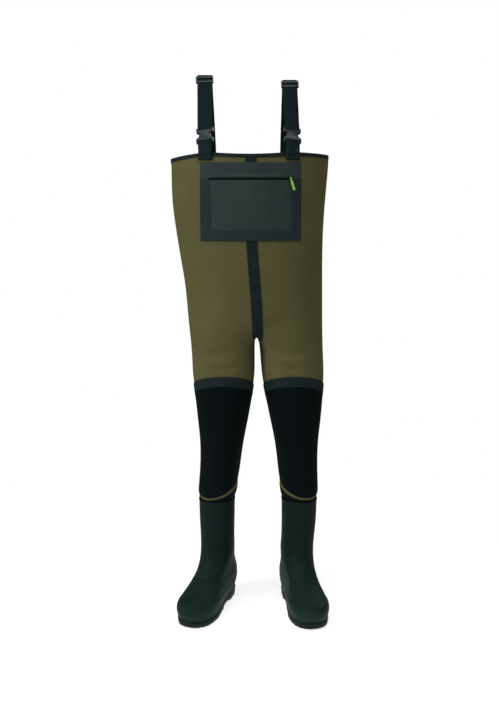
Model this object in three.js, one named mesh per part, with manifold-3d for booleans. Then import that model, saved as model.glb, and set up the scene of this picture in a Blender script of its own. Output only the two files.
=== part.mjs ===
// Chest wader of neoprene with rubber boots, empty, standing on its soles in its worn form.
// Millimetres, +Z up, the soles on z = 0. The bib's front faces -Y and the wearer's left is +X.
import * as THREE from 'three';
import { mergeVertices } from 'three/addons/utils/BufferGeometryUtils.js';
import Module from 'manifold-3d';

const wasm = await Module();
wasm.setup();

// Clearance between two pieces that touch.
const gap = 0.3;

// The neoprene trunk and legs.
const bibHeight = 1304;         // floor to the bib's edge at the braces, its highest part
const chestWidth = 438;         // across the bib
const chestDepth = 272;         // front to back of the bib
const crotchHeight = 800;       // floor to the underside of the crotch
const crotchRise = 62;          // crotch to the lowest whole ring of the trunk
const crotchPlace = 19;         // how far the crotch hangs to the wearer's left
const middleSag = 6.5;          // how far the bib's edge hangs between the braces
const legGap = 10;              // daylight between the thighs
const thighWidth = 184;
const thighDepth = 205;
const neopreneWall = 4;
const tuckDepth = 25;           // how far a leg reaches down into its boot

// The boots.
const bootHeight = 318;
const bootWall = 3;
const toeReach = 224;           // shaft's axis to the toe
const heelReach = 88;           // shaft's axis to the back of the heel
const ballWidth = 114;
const heelWidth = 96;
const shaftWidth = 104;
const shaftDepth = 118;
const ankleBack = 5;            // how far the shaft's axis stands behind the trunk's
const ankleHeight = 140;        // below this the foot stands wholly inwards

// The outsole and the insole.
const heelThickness = 30;
const forefootThickness = 20;
const toeSpring = 5;
const archLift = 8;
const soleMargin = 0.5;         // the outsole stands proud of the upper's lower edge
const randStep = 1.5;           // the raised band round the outsole's side
const grooveWidth = 5;
const grooveDepth = 6;
const lugPitch = 21;
const insoleThickness = 3.5;
const insoleEase = 1.5;          // the insole is cut smaller than the upper's inside

// The tapes and panels that lie on the neoprene.
const bindingThickness = 1.5;
const bindingDrop = 8;
const tapeWidth = 30;
const tapeThickness = 0.8;
const pocketWidth = 268;
const pocketHeight = 206;
const pocketDrop = 26;          // bib's edge to the pocket's upper edge
const pocketThickness = 1.2;
const frameWidth = 27;
const frameThickness = 0.8;
const zipLength = 207;
const zipDrop = 41;             // pocket's upper edge to the zip
const lipHeight = 10;
const lipThickness = 2.6;
const kneeTop = 697;            // floor to the crown of the knee panel
const kneeBottom = 331;         // floor to its lower edge
const kneeTurn = THREE.MathUtils.degToRad(20);      // how far the panel faces outwards
const kneeBandWidth = 28;
const kneeThickness = 1.5;
const kneeBandThickness = 2;
const cuffLow = 323;            // floor to the cuff tape's lowest edge, in front
const cuffHigh = 366;           // floor to its highest edge, behind
const cuffTurn = THREE.MathUtils.degToRad(35);      // how far its lowest part faces outwards

// The braces, their buckles and their adjusters.
const braceWidth = 40;
const braceThickness = 2;
const tabWidth = 38;
const braceRise = 214;          // bib's edge to the crown of the higher brace
const shoulderRadius = 6;
const tabFoot = 20;             // how far a front tab reaches down the bib
const backFoot = 65;            // how far a brace reaches down the bib's back
const patchWidth = 56;
const patchHeight = 46;
const patchDrop = 5;            // binding to the patch's upper edge
const patchThickness = 1.5;
const buckleRise = 45;          // bib's edge to the middle of the buckle
const buckleWidth = 46;
const buckleHeight = 44;
const buckleThickness = 9;
const barRadius = 2;
const adjusterWidth = 48;
const adjusterHeight = 20;

// The zip's slider and its pull tab.
const sliderLength = 12;
const sliderHeight = 9;
const sliderThickness = 3;
const bridgeRadius = 1;
const pullLength = 33;
const pullWidth = 7;
const pullThickness = 2.6;
const pullTilt = THREE.MathUtils.degToRad(18);

const splitHeight = crotchHeight + crotchRise;
const trunkRise = bibHeight - splitHeight;
const legRise = crotchHeight - bootHeight;
const trunkSteps = 28;
const saddleSteps = 8;
const legSteps = trunkSteps / 2 + saddleSteps;

// Sections of the trunk. up is a share of the trunk's rise, wide and over of the chest's width,
// front and back of the chest's depth.
const trunkRows = [
  { up: 1.00, wide: 1.000, front: 0.500, back: 0.485, over: -0.002 },
  { up: 0.93, wide: 1.000, front: 0.500, back: 0.485, over: -0.002 },
  { up: 0.82, wide: 0.991, front: 0.504, back: 0.479, over: -0.007 },
  { up: 0.68, wide: 0.978, front: 0.508, back: 0.470, over: -0.009 },
  { up: 0.52, wide: 0.946, front: 0.505, back: 0.461, over: -0.002 },
  { up: 0.36, wide: 0.916, front: 0.496, back: 0.463, over: 0.010 },
  { up: 0.19, wide: 0.891, front: 0.478, back: 0.476, over: 0.026 },
  { up: 0.00, wide: 0.881, front: 0.440, back: 0.472, over: 0.034 },
];
const trunkSquareness = 2.45;

// Sections of a leg. up is a share of the leg's rise above the boot, wide and deep are shares of
// the thigh, square is the exponent of the rounded section.
const legRows = [
  { up: 0.970, wide: 1.000, deep: 1.000, square: 2.40 },
  { up: 0.870, wide: 0.986, deep: 0.970, square: 2.35 },
  { up: 0.780, wide: 0.982, deep: 0.930, square: 2.30 },
  { up: 0.680, wide: 0.916, deep: 0.880, square: 2.25 },
  { up: 0.580, wide: 0.838, deep: 0.825, square: 2.20 },
  { up: 0.480, wide: 0.765, deep: 0.765, square: 2.15 },
  { up: 0.380, wide: 0.678, deep: 0.710, square: 2.10 },
  { up: 0.270, wide: 0.627, deep: 0.660, square: 2.05 },
  { up: 0.130, wide: 0.594, deep: 0.625, square: 2.00 },
  { up: 0.040, wide: 0.600, deep: 0.612, square: 2.00 },
];

// The two legs as they stand. kneeOut and ankleOut are measured from the hip, away from the crotch,
// footIn is how far the foot stands back inwards, splay is its turn outwards in degrees, and
// endSag is how far the bib's edge falls at that side.
const legs = [
  { name: 'right', side: -1, kneeOut: 0, ankleOut: 19, footIn: 2, splay: 23, endSag: 14 },
  { name: 'left', side: 1, kneeOut: 15, ankleOut: 29, footIn: 7, splay: 13, endSag: 4 },
];
const hipBack = 4;
const kneeAhead = 8;

// The two braces. front, top and back are places across the chest as shares of its width, and
// rise is a share of the higher brace's rise.
const braces = [
  { name: 'right', front: -0.268, top: -0.283, back: -0.265, rise: 1.00 },
  { name: 'left', front: 0.256, top: 0.248, back: 0.242, rise: 0.94 },
];

function signedPower(value, exponent) {
  return Math.sign(value) * Math.abs(value) ** exponent;
}

// A skin of shared points and outward faces, which a wall, a layer or a solid is made from.
class Skin {
  constructor() {
    this.points = [];
    this.faces = [];
    this.rims = [];
  }

  add(points) {
    const first = this.points.length;
    this.points.push(...points);
    return points.map((_, index) => first + index);
  }

  // Quads between two closed rings, which run anticlockwise seen from above unless mirrored.
  band(upper, lower, mirrored = false) {
    for (let index = 0; index < upper.length; index += 1) {
      const next = (index + 1) % upper.length;
      const quad = [lower[index], lower[next], upper[next], upper[index]];
      if (mirrored) quad.reverse();
      this.faces.push([quad[0], quad[1], quad[2]], [quad[0], quad[2], quad[3]]);
    }
  }

  normals() {
    const normals = this.points.map(() => new THREE.Vector3());
    for (const [a, b, c] of this.faces) {
      const one = this.points[b].clone().sub(this.points[a]);
      const two = this.points[c].clone().sub(this.points[a]);
      const across = one.cross(two);
      for (const index of [a, b, c]) normals[index].add(across);
    }
    for (const rim of this.rims) {
      for (const index of rim) normals[index].z = 0;
    }
    return normals.map((normal) => normal.normalize());
  }

  moved(distance) {
    const normals = this.normals();
    return this.points.map((point, index) => point.clone().addScaledVector(normals[index], distance));
  }

  // The edges that only one face uses, as that face runs along them.
  openEdges() {
    const seen = new Set();
    for (const [a, b, c] of this.faces) {
      for (const [from, to] of [[a, b], [b, c], [c, a]]) seen.add(`${from}_${to}`);
    }
    const open = [];
    for (const [a, b, c] of this.faces) {
      for (const [from, to] of [[a, b], [b, c], [c, a]]) {
        if (!seen.has(`${to}_${from}`)) open.push([from, to]);
      }
    }
    return open;
  }

  // One hollow wall between two distances from the skin.
  wall(outer, inner) {
    const count = this.points.length;
    const faces = [...this.faces];
    for (const [a, b, c] of this.faces) faces.push([c + count, b + count, a + count]);
    for (const [from, to] of this.openEdges()) {
      faces.push([to, from, from + count], [to, from + count, to + count]);
    }
    return solidOf([...this.moved(outer), ...this.moved(inner)], faces);
  }

  // The full form inside the skin, moved out by a distance and closed over every rim.
  form(distance) {
    const points = this.moved(distance);
    const faces = [...this.faces];
    for (const rim of this.rims) {
      const middle = new THREE.Vector3();
      for (const index of rim) middle.addScaledVector(points[index], 1 / rim.length);
      points.push(middle);
      for (const [from, to] of this.openEdges()) {
        if (rim.includes(from) && rim.includes(to)) faces.push([to, from, points.length - 1]);
      }
    }
    return solidOf(points, faces);
  }

  layer(lower, upper) {
    return this.form(upper).subtract(this.form(lower));
  }
}

function solidOf(points, faces) {
  const vertProperties = new Float32Array(points.flatMap((point) => point.toArray()));
  const triVerts = new Uint32Array(faces.flat());
  return new wasm.Manifold(new wasm.Mesh({ numProp: 3, vertProperties, triVerts }));
}

function solidFrom(geometry) {
  const plain = geometry.clone();
  plain.deleteAttribute('normal');
  plain.deleteAttribute('uv');
  const merged = mergeVertices(plain, 1e-4);
  const vertProperties = new Float32Array(merged.getAttribute('position').array);
  const triVerts = new Uint32Array(merged.getIndex().array);
  return new wasm.Manifold(new wasm.Mesh({ numProp: 3, vertProperties, triVerts }));
}

function geometryOf(solid) {
  const mesh = solid.getMesh();
  const geometry = new THREE.BufferGeometry();
  geometry.setAttribute('position', new THREE.BufferAttribute(mesh.vertProperties, 3));
  geometry.setIndex(new THREE.BufferAttribute(mesh.triVerts, 1));
  geometry.computeVertexNormals();
  return geometry;
}

function box(low, high) {
  const size = new THREE.Vector3().subVectors(high, low);
  const middle = new THREE.Vector3().addVectors(low, high).multiplyScalar(0.5);
  return new THREE.BoxGeometry(size.x, size.y, size.z).translate(middle.x, middle.y, middle.z);
}

function boxSolid(x0, x1, y0, y1, z0, z1) {
  return solidFrom(box(new THREE.Vector3(x0, y0, z0), new THREE.Vector3(x1, y1, z1)));
}

// A shape drawn in x and z, run along y from one place to another.
function prismAlongY(shape, from, to) {
  const settings = { depth: to - from, bevelEnabled: false, curveSegments: 6 };
  const geometry = new THREE.ExtrudeGeometry(shape, settings);
  const turn = new THREE.Matrix4().makeBasis(
    new THREE.Vector3(1, 0, 0),
    new THREE.Vector3(0, 0, 1),
    new THREE.Vector3(0, -1, 0),
  );
  return solidFrom(geometry.applyMatrix4(turn).translate(0, to, 0));
}

// A shape drawn in y and z, run along x from one place to another.
function prismAlongX(shape, from, to) {
  const settings = { depth: to - from, bevelEnabled: false, curveSegments: 6 };
  const geometry = new THREE.ExtrudeGeometry(shape, settings);
  const turn = new THREE.Matrix4().makeBasis(
    new THREE.Vector3(0, 1, 0),
    new THREE.Vector3(0, 0, 1),
    new THREE.Vector3(1, 0, 0),
  );
  return solidFrom(geometry.applyMatrix4(turn).translate(from, 0, 0));
}

function rectangle(left, right, bottom, top) {
  const shape = new THREE.Shape();
  shape.moveTo(left, bottom);
  shape.lineTo(right, bottom);
  shape.lineTo(right, top);
  shape.lineTo(left, top);
  return shape;
}

const wader = new THREE.Group();
const finishes = {
  neoprene: { color: 0x54502f, roughness: 0.9, metalness: 0 },
  tape: { color: 0x1b2424, roughness: 0.8, metalness: 0 },
  pocket: { color: 0x2b3738, roughness: 0.8, metalness: 0 },
  knee: { color: 0x0d1618, roughness: 0.75, metalness: 0 },
  rubber: { color: 0x1c2e2a, roughness: 0.45, metalness: 0 },
  sole: { color: 0x141c1b, roughness: 0.6, metalness: 0 },
  webbing: { color: 0x152224, roughness: 0.85, metalness: 0 },
  buckle: { color: 0x303b42, roughness: 0.4, metalness: 0 },
  slider: { color: 0x2a3032, roughness: 0.35, metalness: 0.6 },
  pull: { color: 0x9cc850, roughness: 0.5, metalness: 0 },
};
const materials = {};
for (const [name, finish] of Object.entries(finishes)) {
  materials[name] = new THREE.MeshStandardMaterial(finish);
}

function place(name, solid, finish, matrix = new THREE.Matrix4()) {
  const mesh = new THREE.Mesh(geometryOf(solid), materials[finish]);
  mesh.name = name;
  mesh.applyMatrix4(matrix);
  wader.add(mesh);
  return mesh;
}

// Trunk and legs

// How far the bib's edge hangs below its highest parts, which the braces hold up.
function edgeSag(x) {
  const [right, left] = braces.map((brace) => brace.front * chestWidth);
  if (x < right) return legs[0].endSag * (right - x) / (right + chestWidth / 2);
  if (x > left) return legs[1].endSag * (x - left) / (chestWidth / 2 - left);
  return middleSag * Math.sin(Math.PI * (x - right) / (left - right));
}

function trunkRing(row) {
  const points = [];
  const width = chestWidth * row.wide / 2;
  const middle = chestWidth * row.over;
  const height = splitHeight + trunkRise * row.up;
  for (let step = 0; step < trunkSteps; step += 1) {
    const angle = step * 2 * Math.PI / trunkSteps;
    const across = signedPower(Math.sin(angle), 2 / trunkSquareness);
    const ahead = signedPower(Math.cos(angle), 2 / trunkSquareness);
    const depth = chestDepth * (ahead > 0 ? row.front : row.back);
    const x = middle + width * across;
    points.push(new THREE.Vector3(x, -depth * ahead, row.up < 1 ? height : height - edgeSag(x)));
  }
  return points;
}

// A smooth line through a hip, a knee and an ankle value. down runs from 0 at the crotch to 1.
function legLine(hip, knee, ankle, down) {
  const bend = 2 * knee - (hip + ankle) / 2;
  return hip * (1 - down) ** 2 + 2 * bend * down * (1 - down) + ankle * down ** 2;
}

function hipPlace(leg) {
  return crotchPlace + leg.side * (legGap + thighWidth) / 2;
}

function legCentre(leg, down) {
  const hip = hipPlace(leg);
  const x = legLine(hip, hip + leg.side * leg.kneeOut, hip + leg.side * leg.ankleOut, down);
  const y = legLine(hipBack, -kneeAhead, ankleBack, down);
  return new THREE.Vector2(x, y);
}

function splayOf(leg) {
  return THREE.MathUtils.degToRad(leg.splay);
}

// A point beside a leg's axis, ahead towards the toes and out away from the other leg.
function besideLeg(leg, centre, turn, ahead, out, height) {
  const shaft = THREE.MathUtils.smoothstep(height, ankleHeight, bootHeight * shaftRows[1].up);
  const inward = leg.footIn * (1 - shaft);
  const x = centre.x + leg.side * (ahead * Math.sin(turn) + out * Math.cos(turn) - inward);
  const y = centre.y - ahead * Math.cos(turn) + out * Math.sin(turn);
  return new THREE.Vector3(x, y, height);
}

function legAngle(step) {
  return Math.PI / 2 + (step - trunkSteps / 4) * 2 * Math.PI / legSteps;
}

function legRing(leg, height, halfWidth, halfDepth, square) {
  const down = THREE.MathUtils.clamp((crotchHeight - height) / legRise, 0, 1);
  const centre = legCentre(leg, down);
  const turn = splayOf(leg) * THREE.MathUtils.smoothstep(down, 0.35, 1);
  const points = [];
  for (let step = 0; step < legSteps; step += 1) {
    const angle = legAngle(step);
    const ahead = halfDepth * signedPower(Math.cos(angle), 2 / square);
    const out = halfWidth * signedPower(Math.sin(angle), 2 / square);
    points.push(besideLeg(leg, centre, turn, ahead, out, height));
  }
  return points;
}

// The shaft's outline over the ankle, as shares of its size at the collar.
const shaftRows = [
  { up: 1.00, wide: 1.00, deep: 1.00 },
  { up: 0.80, wide: 0.985, deep: 0.98 },
  { up: 0.63, wide: 0.93, deep: 0.98 },
];

function shaftShare(height, column) {
  const up = height / bootHeight;
  for (let row = 1; row < shaftRows.length; row += 1) {
    const above = shaftRows[row - 1];
    const below = shaftRows[row];
    if (up >= below.up) {
      const share = THREE.MathUtils.clamp((up - below.up) / (above.up - below.up), 0, 1);
      return THREE.MathUtils.lerp(below[column], above[column], share);
    }
  }
  return shaftRows[shaftRows.length - 1][column];
}

function tuckRing(leg, height) {
  const inset = bootWall + gap;
  const inside = Math.min(height, bootHeight);
  const halfWidth = shaftWidth / 2 * shaftShare(inside, 'wide') - inset;
  const halfDepth = shaftDepth / 2 * shaftShare(inside, 'deep') - inset;
  return legRing(leg, height, halfWidth, halfDepth, 2);
}

const body = new Skin();
const trunkRings = trunkRows.map((row) => body.add(trunkRing(row)));
for (let row = 1; row < trunkRings.length; row += 1) {
  body.band(trunkRings[row - 1], trunkRings[row]);
}
const hem = trunkRings[trunkRings.length - 1];
const frontMiddle = body.points[hem[0]];
const backMiddle = body.points[hem[trunkSteps / 2]];

// The crotch hangs from the back middle to the front middle and is shared by both legs.
const saddlePoints = [];
for (let step = 1; step < saddleSteps; step += 1) {
  const angle = Math.PI * step / saddleSteps;
  const along = (1 - Math.cos(angle)) / 2;
  const hang = Math.sin(angle) ** 0.8;
  saddlePoints.push(new THREE.Vector3(
    THREE.MathUtils.lerp(frontMiddle.x, crotchPlace, hang),
    THREE.MathUtils.lerp(backMiddle.y, frontMiddle.y, along),
    splitHeight - crotchRise * hang,
  ));
}
const saddle = body.add(saddlePoints);
body.rims.push(trunkRings[0]);

for (const leg of legs) {
  const half = [];
  for (let step = 0; step <= trunkSteps / 2; step += 1) {
    half.push(hem[(leg.side * step + trunkSteps) % trunkSteps]);
  }
  const rings = [[...half, ...saddle]];
  for (const row of legRows) {
    const height = bootHeight + legRise * row.up;
    const halfWidth = thighWidth * row.wide / 2;
    const halfDepth = thighDepth * row.deep / 2;
    rings.push(body.add(legRing(leg, height, halfWidth, halfDepth, row.square)));
  }
  for (const height of [bootHeight + 3, bootHeight, bootHeight - tuckDepth]) {
    rings.push(body.add(tuckRing(leg, height)));
  }
  for (let row = 1; row < rings.length; row += 1) {
    body.band(rings[row - 1], rings[row], leg.side < 0);
  }
  body.rims.push(rings[rings.length - 1]);
}
place('neoprene_body', body.wall(0, -neopreneWall), 'neoprene');

// Binding

const edge = new Skin();
const edgeRing = trunkRing(trunkRows[0]);
const edgeUpper = edge.add(edgeRing);
const edgeLower = edge.add(edgeRing.map((point) => point.clone().setZ(point.z - bindingDrop)));
edge.band(edgeUpper, edgeLower);
edge.rims.push(edgeUpper, edgeLower);

// Each corner of the folded band, as a distance out from the neoprene and a rise over its edge.
const bindingSection = [
  { out: gap, rise: -bindingDrop },
  { out: gap, rise: gap },
  { out: -neopreneWall - gap, rise: gap },
  { out: -neopreneWall - gap, rise: -bindingDrop },
  { out: -neopreneWall - gap - bindingThickness, rise: -bindingDrop },
  { out: -neopreneWall - gap - bindingThickness, rise: gap + bindingThickness },
  { out: gap + bindingThickness, rise: gap + bindingThickness },
  { out: gap + bindingThickness, rise: -bindingDrop },
];
const binding = new Skin();
const bindingRings = bindingSection.map((corner) => {
  const ring = edge.moved(corner.out).slice(0, trunkSteps);
  return binding.add(ring.map((point) => point.setZ(point.z + corner.rise)));
});
for (let corner = 0; corner < bindingRings.length; corner += 1) {
  binding.band(bindingRings[corner], bindingRings[(corner + 1) % bindingRings.length]);
}
place('top_binding', solidOf(binding.points, binding.faces), 'tape');

// Pocket on the chest

const aheadOfChest = -chestDepth;
const pocketTop = bibHeight - pocketDrop;
const pocketBottom = pocketTop - pocketHeight;
const pocketMiddle = chestWidth * 0.004;
const pocketLeft = pocketMiddle - pocketWidth / 2;
const pocketRight = pocketMiddle + pocketWidth / 2;
const zipHeight = pocketTop - zipDrop;
const zipMiddle = pocketMiddle - 0.026 * pocketWidth;
const panelFace = gap + pocketThickness;
const coverFace = panelFace + gap;

function onChest(shape, lower, upper) {
  return body.layer(lower, upper).intersect(prismAlongY(shape, aheadOfChest, 0));
}

const pocketShape = rectangle(pocketLeft, pocketRight, pocketBottom, pocketTop);
place('pocket_panel', onChest(pocketShape, gap, panelFace), 'pocket');

const frameShape = rectangle(pocketLeft, pocketRight, pocketBottom, zipHeight - gap);
const frameHole = new THREE.Path();
frameHole.moveTo(pocketLeft + frameWidth, pocketBottom + frameWidth);
frameHole.lineTo(pocketLeft + frameWidth, zipHeight - frameWidth / 2);
frameHole.lineTo(pocketRight - frameWidth, zipHeight - frameWidth / 2);
frameHole.lineTo(pocketRight - frameWidth, pocketBottom + frameWidth);
frameShape.holes.push(frameHole);
place('pocket_frame', onChest(frameShape, coverFace, coverFace + frameThickness), 'tape');

// The zip's upper lip is a soft roll that stands over the slit and thins out above it.
const zipLeft = zipMiddle - zipLength / 2;
const zipRight = zipMiddle + zipLength / 2;
const lipShape = rectangle(zipLeft, zipRight, zipHeight, zipHeight + lipHeight);
const lipCore = rectangle(zipLeft, zipRight, zipHeight + lipHeight * 0.15, zipHeight + lipHeight * 0.7);
const lipFoot = onChest(lipShape, coverFace, coverFace + lipThickness / 2);
const lipRoll = onChest(lipCore, coverFace, coverFace + lipThickness);
place('zip_tape', lipFoot.add(lipRoll), 'pocket');

// Seam tape down the front middle, under the crotch and up the back

function tapePath(height) {
  const share = THREE.MathUtils.clamp((height - crotchHeight) / (bibHeight - crotchHeight), 0, 1);
  return THREE.MathUtils.lerp(crotchPlace, 0, THREE.MathUtils.smoothstep(share, 0, 0.7));
}

function tapeShape(bottom, top, steps) {
  const left = [];
  const right = [];
  for (let step = 0; step <= steps; step += 1) {
    const height = THREE.MathUtils.lerp(bottom, top, step / steps);
    left.push(new THREE.Vector2(tapePath(height) - tapeWidth / 2, height));
    right.push(new THREE.Vector2(tapePath(height) + tapeWidth / 2, height));
  }
  return new THREE.Shape([...left, ...right.reverse()]);
}

const tapeTop = bibHeight - middleSag - bindingDrop - gap;
const tapeEnd = crotchHeight - tapeWidth;
const tapeLayer = body.layer(gap, gap + tapeThickness);
const tapeFrontLower = prismAlongY(tapeShape(tapeEnd, pocketBottom - gap, 6), aheadOfChest, 0);
const tapeBack = prismAlongY(tapeShape(tapeEnd, tapeTop, 8), 0, chestDepth);
const crotchBox = boxSolid(
  crotchPlace - tapeWidth / 2, crotchPlace + tapeWidth / 2,
  -chestDepth, chestDepth,
  crotchHeight - crotchRise, splitHeight,
);
// Where the thighs close up, the tape is only as wide as the gap between them.
const thighEase = 1;
const thighTop = crotchHeight + 8;
const legCut = legs.map((leg) => {
  const near = crotchPlace + leg.side * (legGap / 2 - thighEase);
  const far = near + leg.side * tapeWidth;
  return boxSolid(Math.min(near, far), Math.max(near, far), -chestDepth, chestDepth, 0, thighTop);
});
const underside = tapeLayer.intersect(crotchBox).subtract(legCut[0].add(legCut[1]));
const wholeTape = tapeLayer.intersect(tapeFrontLower.add(tapeBack)).subtract(legCut[0].add(legCut[1]));
place('centre_tape', wholeTape.add(underside), 'tape');
place('tape_top', onChest(tapeShape(pocketTop + gap, tapeTop, 1), gap, gap + tapeThickness), 'tape');

// Knee panels, each with a band along its crown, and the cuff tapes over the boots' collars. All are
// drawn from the leg's side, as shares of the thigh's depth from its axis.

const kneeFront = -0.47 * thighDepth;
const kneeBack = 0.12 * thighDepth;
const kneeCorner = 0.02 * thighDepth;
const kneeHeel = -0.32 * thighDepth;    // where the lower edge starts to rise
const kneeDrop = 0.14 * (kneeTop - kneeBottom);

// A shape drawn round the origin, turned outwards and stood on a leg's axis, on its own side only.
function onLeg(leg, centre, shape, turn) {
  const block = prismAlongX(shape, -thighWidth, thighWidth);
  const turned = block.rotate([0, 0, leg.side * THREE.MathUtils.radToDeg(turn)]);
  const far = crotchPlace + leg.side * thighWidth * 2;
  const [left, right] = [Math.min(crotchPlace, far), Math.max(crotchPlace, far)];
  const ownSide = boxSolid(left, right, -chestDepth, chestDepth, 0, crotchHeight);
  return turned.translate([centre.x, centre.y, 0]).intersect(ownSide);
}

function panelShape() {
  const crown = kneeTop - kneeBandWidth - gap;
  const shape = new THREE.Shape();
  shape.moveTo(-thighDepth, kneeBottom);
  shape.lineTo(kneeHeel, kneeBottom);
  shape.quadraticCurveTo(kneeBack, kneeBottom + kneeDrop / 2, kneeBack, kneeBottom + kneeDrop * 2);
  shape.lineTo(kneeBack, crown - kneeDrop * 2);
  shape.quadraticCurveTo(kneeBack, crown - kneeDrop * 1.25, kneeCorner, crown - kneeDrop);
  shape.lineTo(kneeFront, crown);
  shape.lineTo(-thighDepth, crown);
  return shape;
}

function bandShape() {
  const shape = new THREE.Shape();
  shape.moveTo(-thighDepth, kneeTop - kneeBandWidth);
  shape.lineTo(kneeFront, kneeTop - kneeBandWidth);
  shape.lineTo(kneeCorner, kneeTop - kneeBandWidth - kneeDrop);
  shape.lineTo(kneeCorner, kneeTop - kneeDrop);
  shape.lineTo(kneeFront, kneeTop);
  shape.lineTo(-thighDepth, kneeTop);
  return shape;
}

function cuffShape() {
  const shape = new THREE.Shape();
  const half = thighDepth * 0.31;
  shape.moveTo(-thighDepth, bootHeight + gap);
  shape.lineTo(thighDepth, bootHeight + gap);
  shape.lineTo(thighDepth, cuffHigh);
  shape.lineTo(half, cuffHigh);
  shape.lineTo(-half, cuffLow);
  shape.lineTo(-thighDepth, cuffLow);
  return shape;
}

const panelLayer = body.layer(gap, gap + kneeThickness);
const bandLayer = body.layer(gap, gap + kneeBandThickness);
for (const leg of legs) {
  const knee = legCentre(leg, (crotchHeight - (kneeTop + kneeBottom) / 2) / legRise);
  const ankle = legCentre(leg, 1);
  const panel = panelLayer.intersect(onLeg(leg, knee, panelShape(), kneeTurn));
  place(`knee_panel_${leg.name}`, panel, 'knee');
  place(`knee_band_${leg.name}`, bandLayer.intersect(onLeg(leg, knee, bandShape(), kneeTurn)), 'tape');
  place(`cuff_tape_${leg.name}`, tapeLayer.intersect(onLeg(leg, ankle, cuffShape(), cuffTurn)), 'tape');
}

// Boots

// Height of the outsole's upper face along the foot. place is a share of the toe's reach ahead of
// the shaft's axis and of the heel's reach behind it, rise is a share of the heel's thickness
// above the forefoot's, and spring is a share of the toe spring.
const soleRows = [
  { place: -1.00, rise: 1.00, spring: 0.0 },
  { place: -0.25, rise: 0.90, spring: 0.0 },
  { place: 0.28, rise: 0.40, spring: 0.0 },
  { place: 0.56, rise: 0.00, spring: 0.0 },
  { place: 0.79, rise: 0.00, spring: 0.1 },
  { place: 1.00, rise: 0.00, spring: 0.7 },
];

function footShare(ahead) {
  return ahead / (ahead < 0 ? heelReach : toeReach);
}

function soleTop(ahead) {
  const share = THREE.MathUtils.clamp(footShare(ahead), -1, 1);
  const next = Math.max(1, soleRows.findIndex((row) => row.place >= share));
  const [before, after] = [soleRows[next - 1], soleRows[next]];
  const along = (share - before.place) / (after.place - before.place);
  const rise = THREE.MathUtils.lerp(before.rise, after.rise, along);
  const spring = THREE.MathUtils.lerp(before.spring, after.spring, along);
  return forefootThickness + (heelThickness - forefootThickness) * rise + toeSpring * spring;
}

function soleBottom(ahead) {
  const spring = THREE.MathUtils.clamp((footShare(ahead) - 0.78) / 0.22, 0, 1);
  const heel = THREE.MathUtils.clamp((-footShare(ahead) - 0.88) / 0.12, 0, 1);
  return toeSpring * spring ** 1.3 + toeSpring * 0.15 * heel;
}

// Rings of the upper. front and top are the ring's reach ahead and height there, as shares of the
// toe's reach and the boot's height, back and low the same at the heel. half and heel are shares
// of half the ball's and the heel's width, mid is where the ring is widest, and foot is how far
// the outline has the foot's swing and arch.
const upperRows = [
  { front: 1.000, top: 0.132, back: 0.98, low: 0.138, half: 1.03, heel: 0.960, mid: 0.55, foot: 1.0 },
  { front: 0.990, top: 0.170, back: 1.01, low: 0.182, half: 1.01, heel: 1.010, mid: 0.54, foot: 1.0 },
  { front: 0.935, top: 0.200, back: 1.02, low: 0.226, half: 0.93, heel: 1.040, mid: 0.49, foot: 1.0 },
  { front: 0.835, top: 0.226, back: 1.00, low: 0.270, half: 0.85, heel: 1.040, mid: 0.42, foot: 1.0 },
  { front: 0.700, top: 0.254, back: 0.95, low: 0.314, half: 0.80, heel: 1.020, mid: 0.32, foot: 0.8 },
  { front: 0.560, top: 0.290, back: 0.88, low: 0.361, half: 0.79, heel: 0.990, mid: 0.20, foot: 0.55 },
  { front: 0.445, top: 0.336, back: 0.80, low: 0.409, half: 0.80, heel: 0.970, mid: 0.10, foot: 0.3 },
  { front: 0.356, top: 0.402, back: 0.73, low: 0.459, half: 0.825, heel: 0.975, mid: 0.04, foot: 0.12 },
  { front: 0.287, top: 0.490, back: 0.69, low: 0.522, half: 0.849, heel: 1.008, mid: 0.00, foot: 0.0 },
];

// A point of a boot's outline. angle runs from the toe round the outer side, and grow moves it out.
function outlinePoint(row, angle, grow) {
  const mid = row.mid * toeReach;
  const half = row.half * ballWidth / 2 + grow;
  const heelHalf = row.heel * heelWidth / 2 + grow;
  const square = THREE.MathUtils.lerp(2, Math.cos(angle) < 0 ? 3 : 2.3, row.foot);
  const rounded = signedPower(Math.sin(angle), 2 / square);
  const reach = Math.abs(Math.cos(angle)) ** (2 / square);
  let ahead = mid + (row.front * toeReach + grow - mid) * reach;
  let width = half;
  if (Math.cos(angle) < 0) {
    ahead = mid - (mid + row.back * heelReach + grow) * reach;
    width = THREE.MathUtils.lerp(half, heelHalf, THREE.MathUtils.smoothstep(reach, 0, 0.8));
  }
  const forward = THREE.MathUtils.clamp(ahead / toeReach, 0, 1);
  const swing = 0.06 * ballWidth * row.foot * forward ** 2;
  const archPlace = THREE.MathUtils.clamp(1 - Math.abs(ahead / toeReach - 0.17) / 0.33, 0, 1);
  const hollow = 0.06 * ballWidth * row.foot * THREE.MathUtils.smoothstep(archPlace, 0, 1);
  return new THREE.Vector2(ahead, rounded * width - swing + (angle > Math.PI ? hollow : 0));
}

const featherRow = { ...upperRows[0], front: 0.962, back: 0.93, half: 0.955, heel: 0.88 };

// Steps down the outsole's side. rise is a share of its height and proud a share of the rand step.
const soleEdge = [
  { rise: 1.00, proud: 0 },
  { rise: 0.80, proud: 0 },
  { rise: 0.74, proud: 1 },
  { rise: 0.56, proud: 1 },
  { rise: 0.50, proud: 0 },
  { rise: 0.08, proud: 0 },
  { rise: 0.00, proud: -2 },
];

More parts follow.
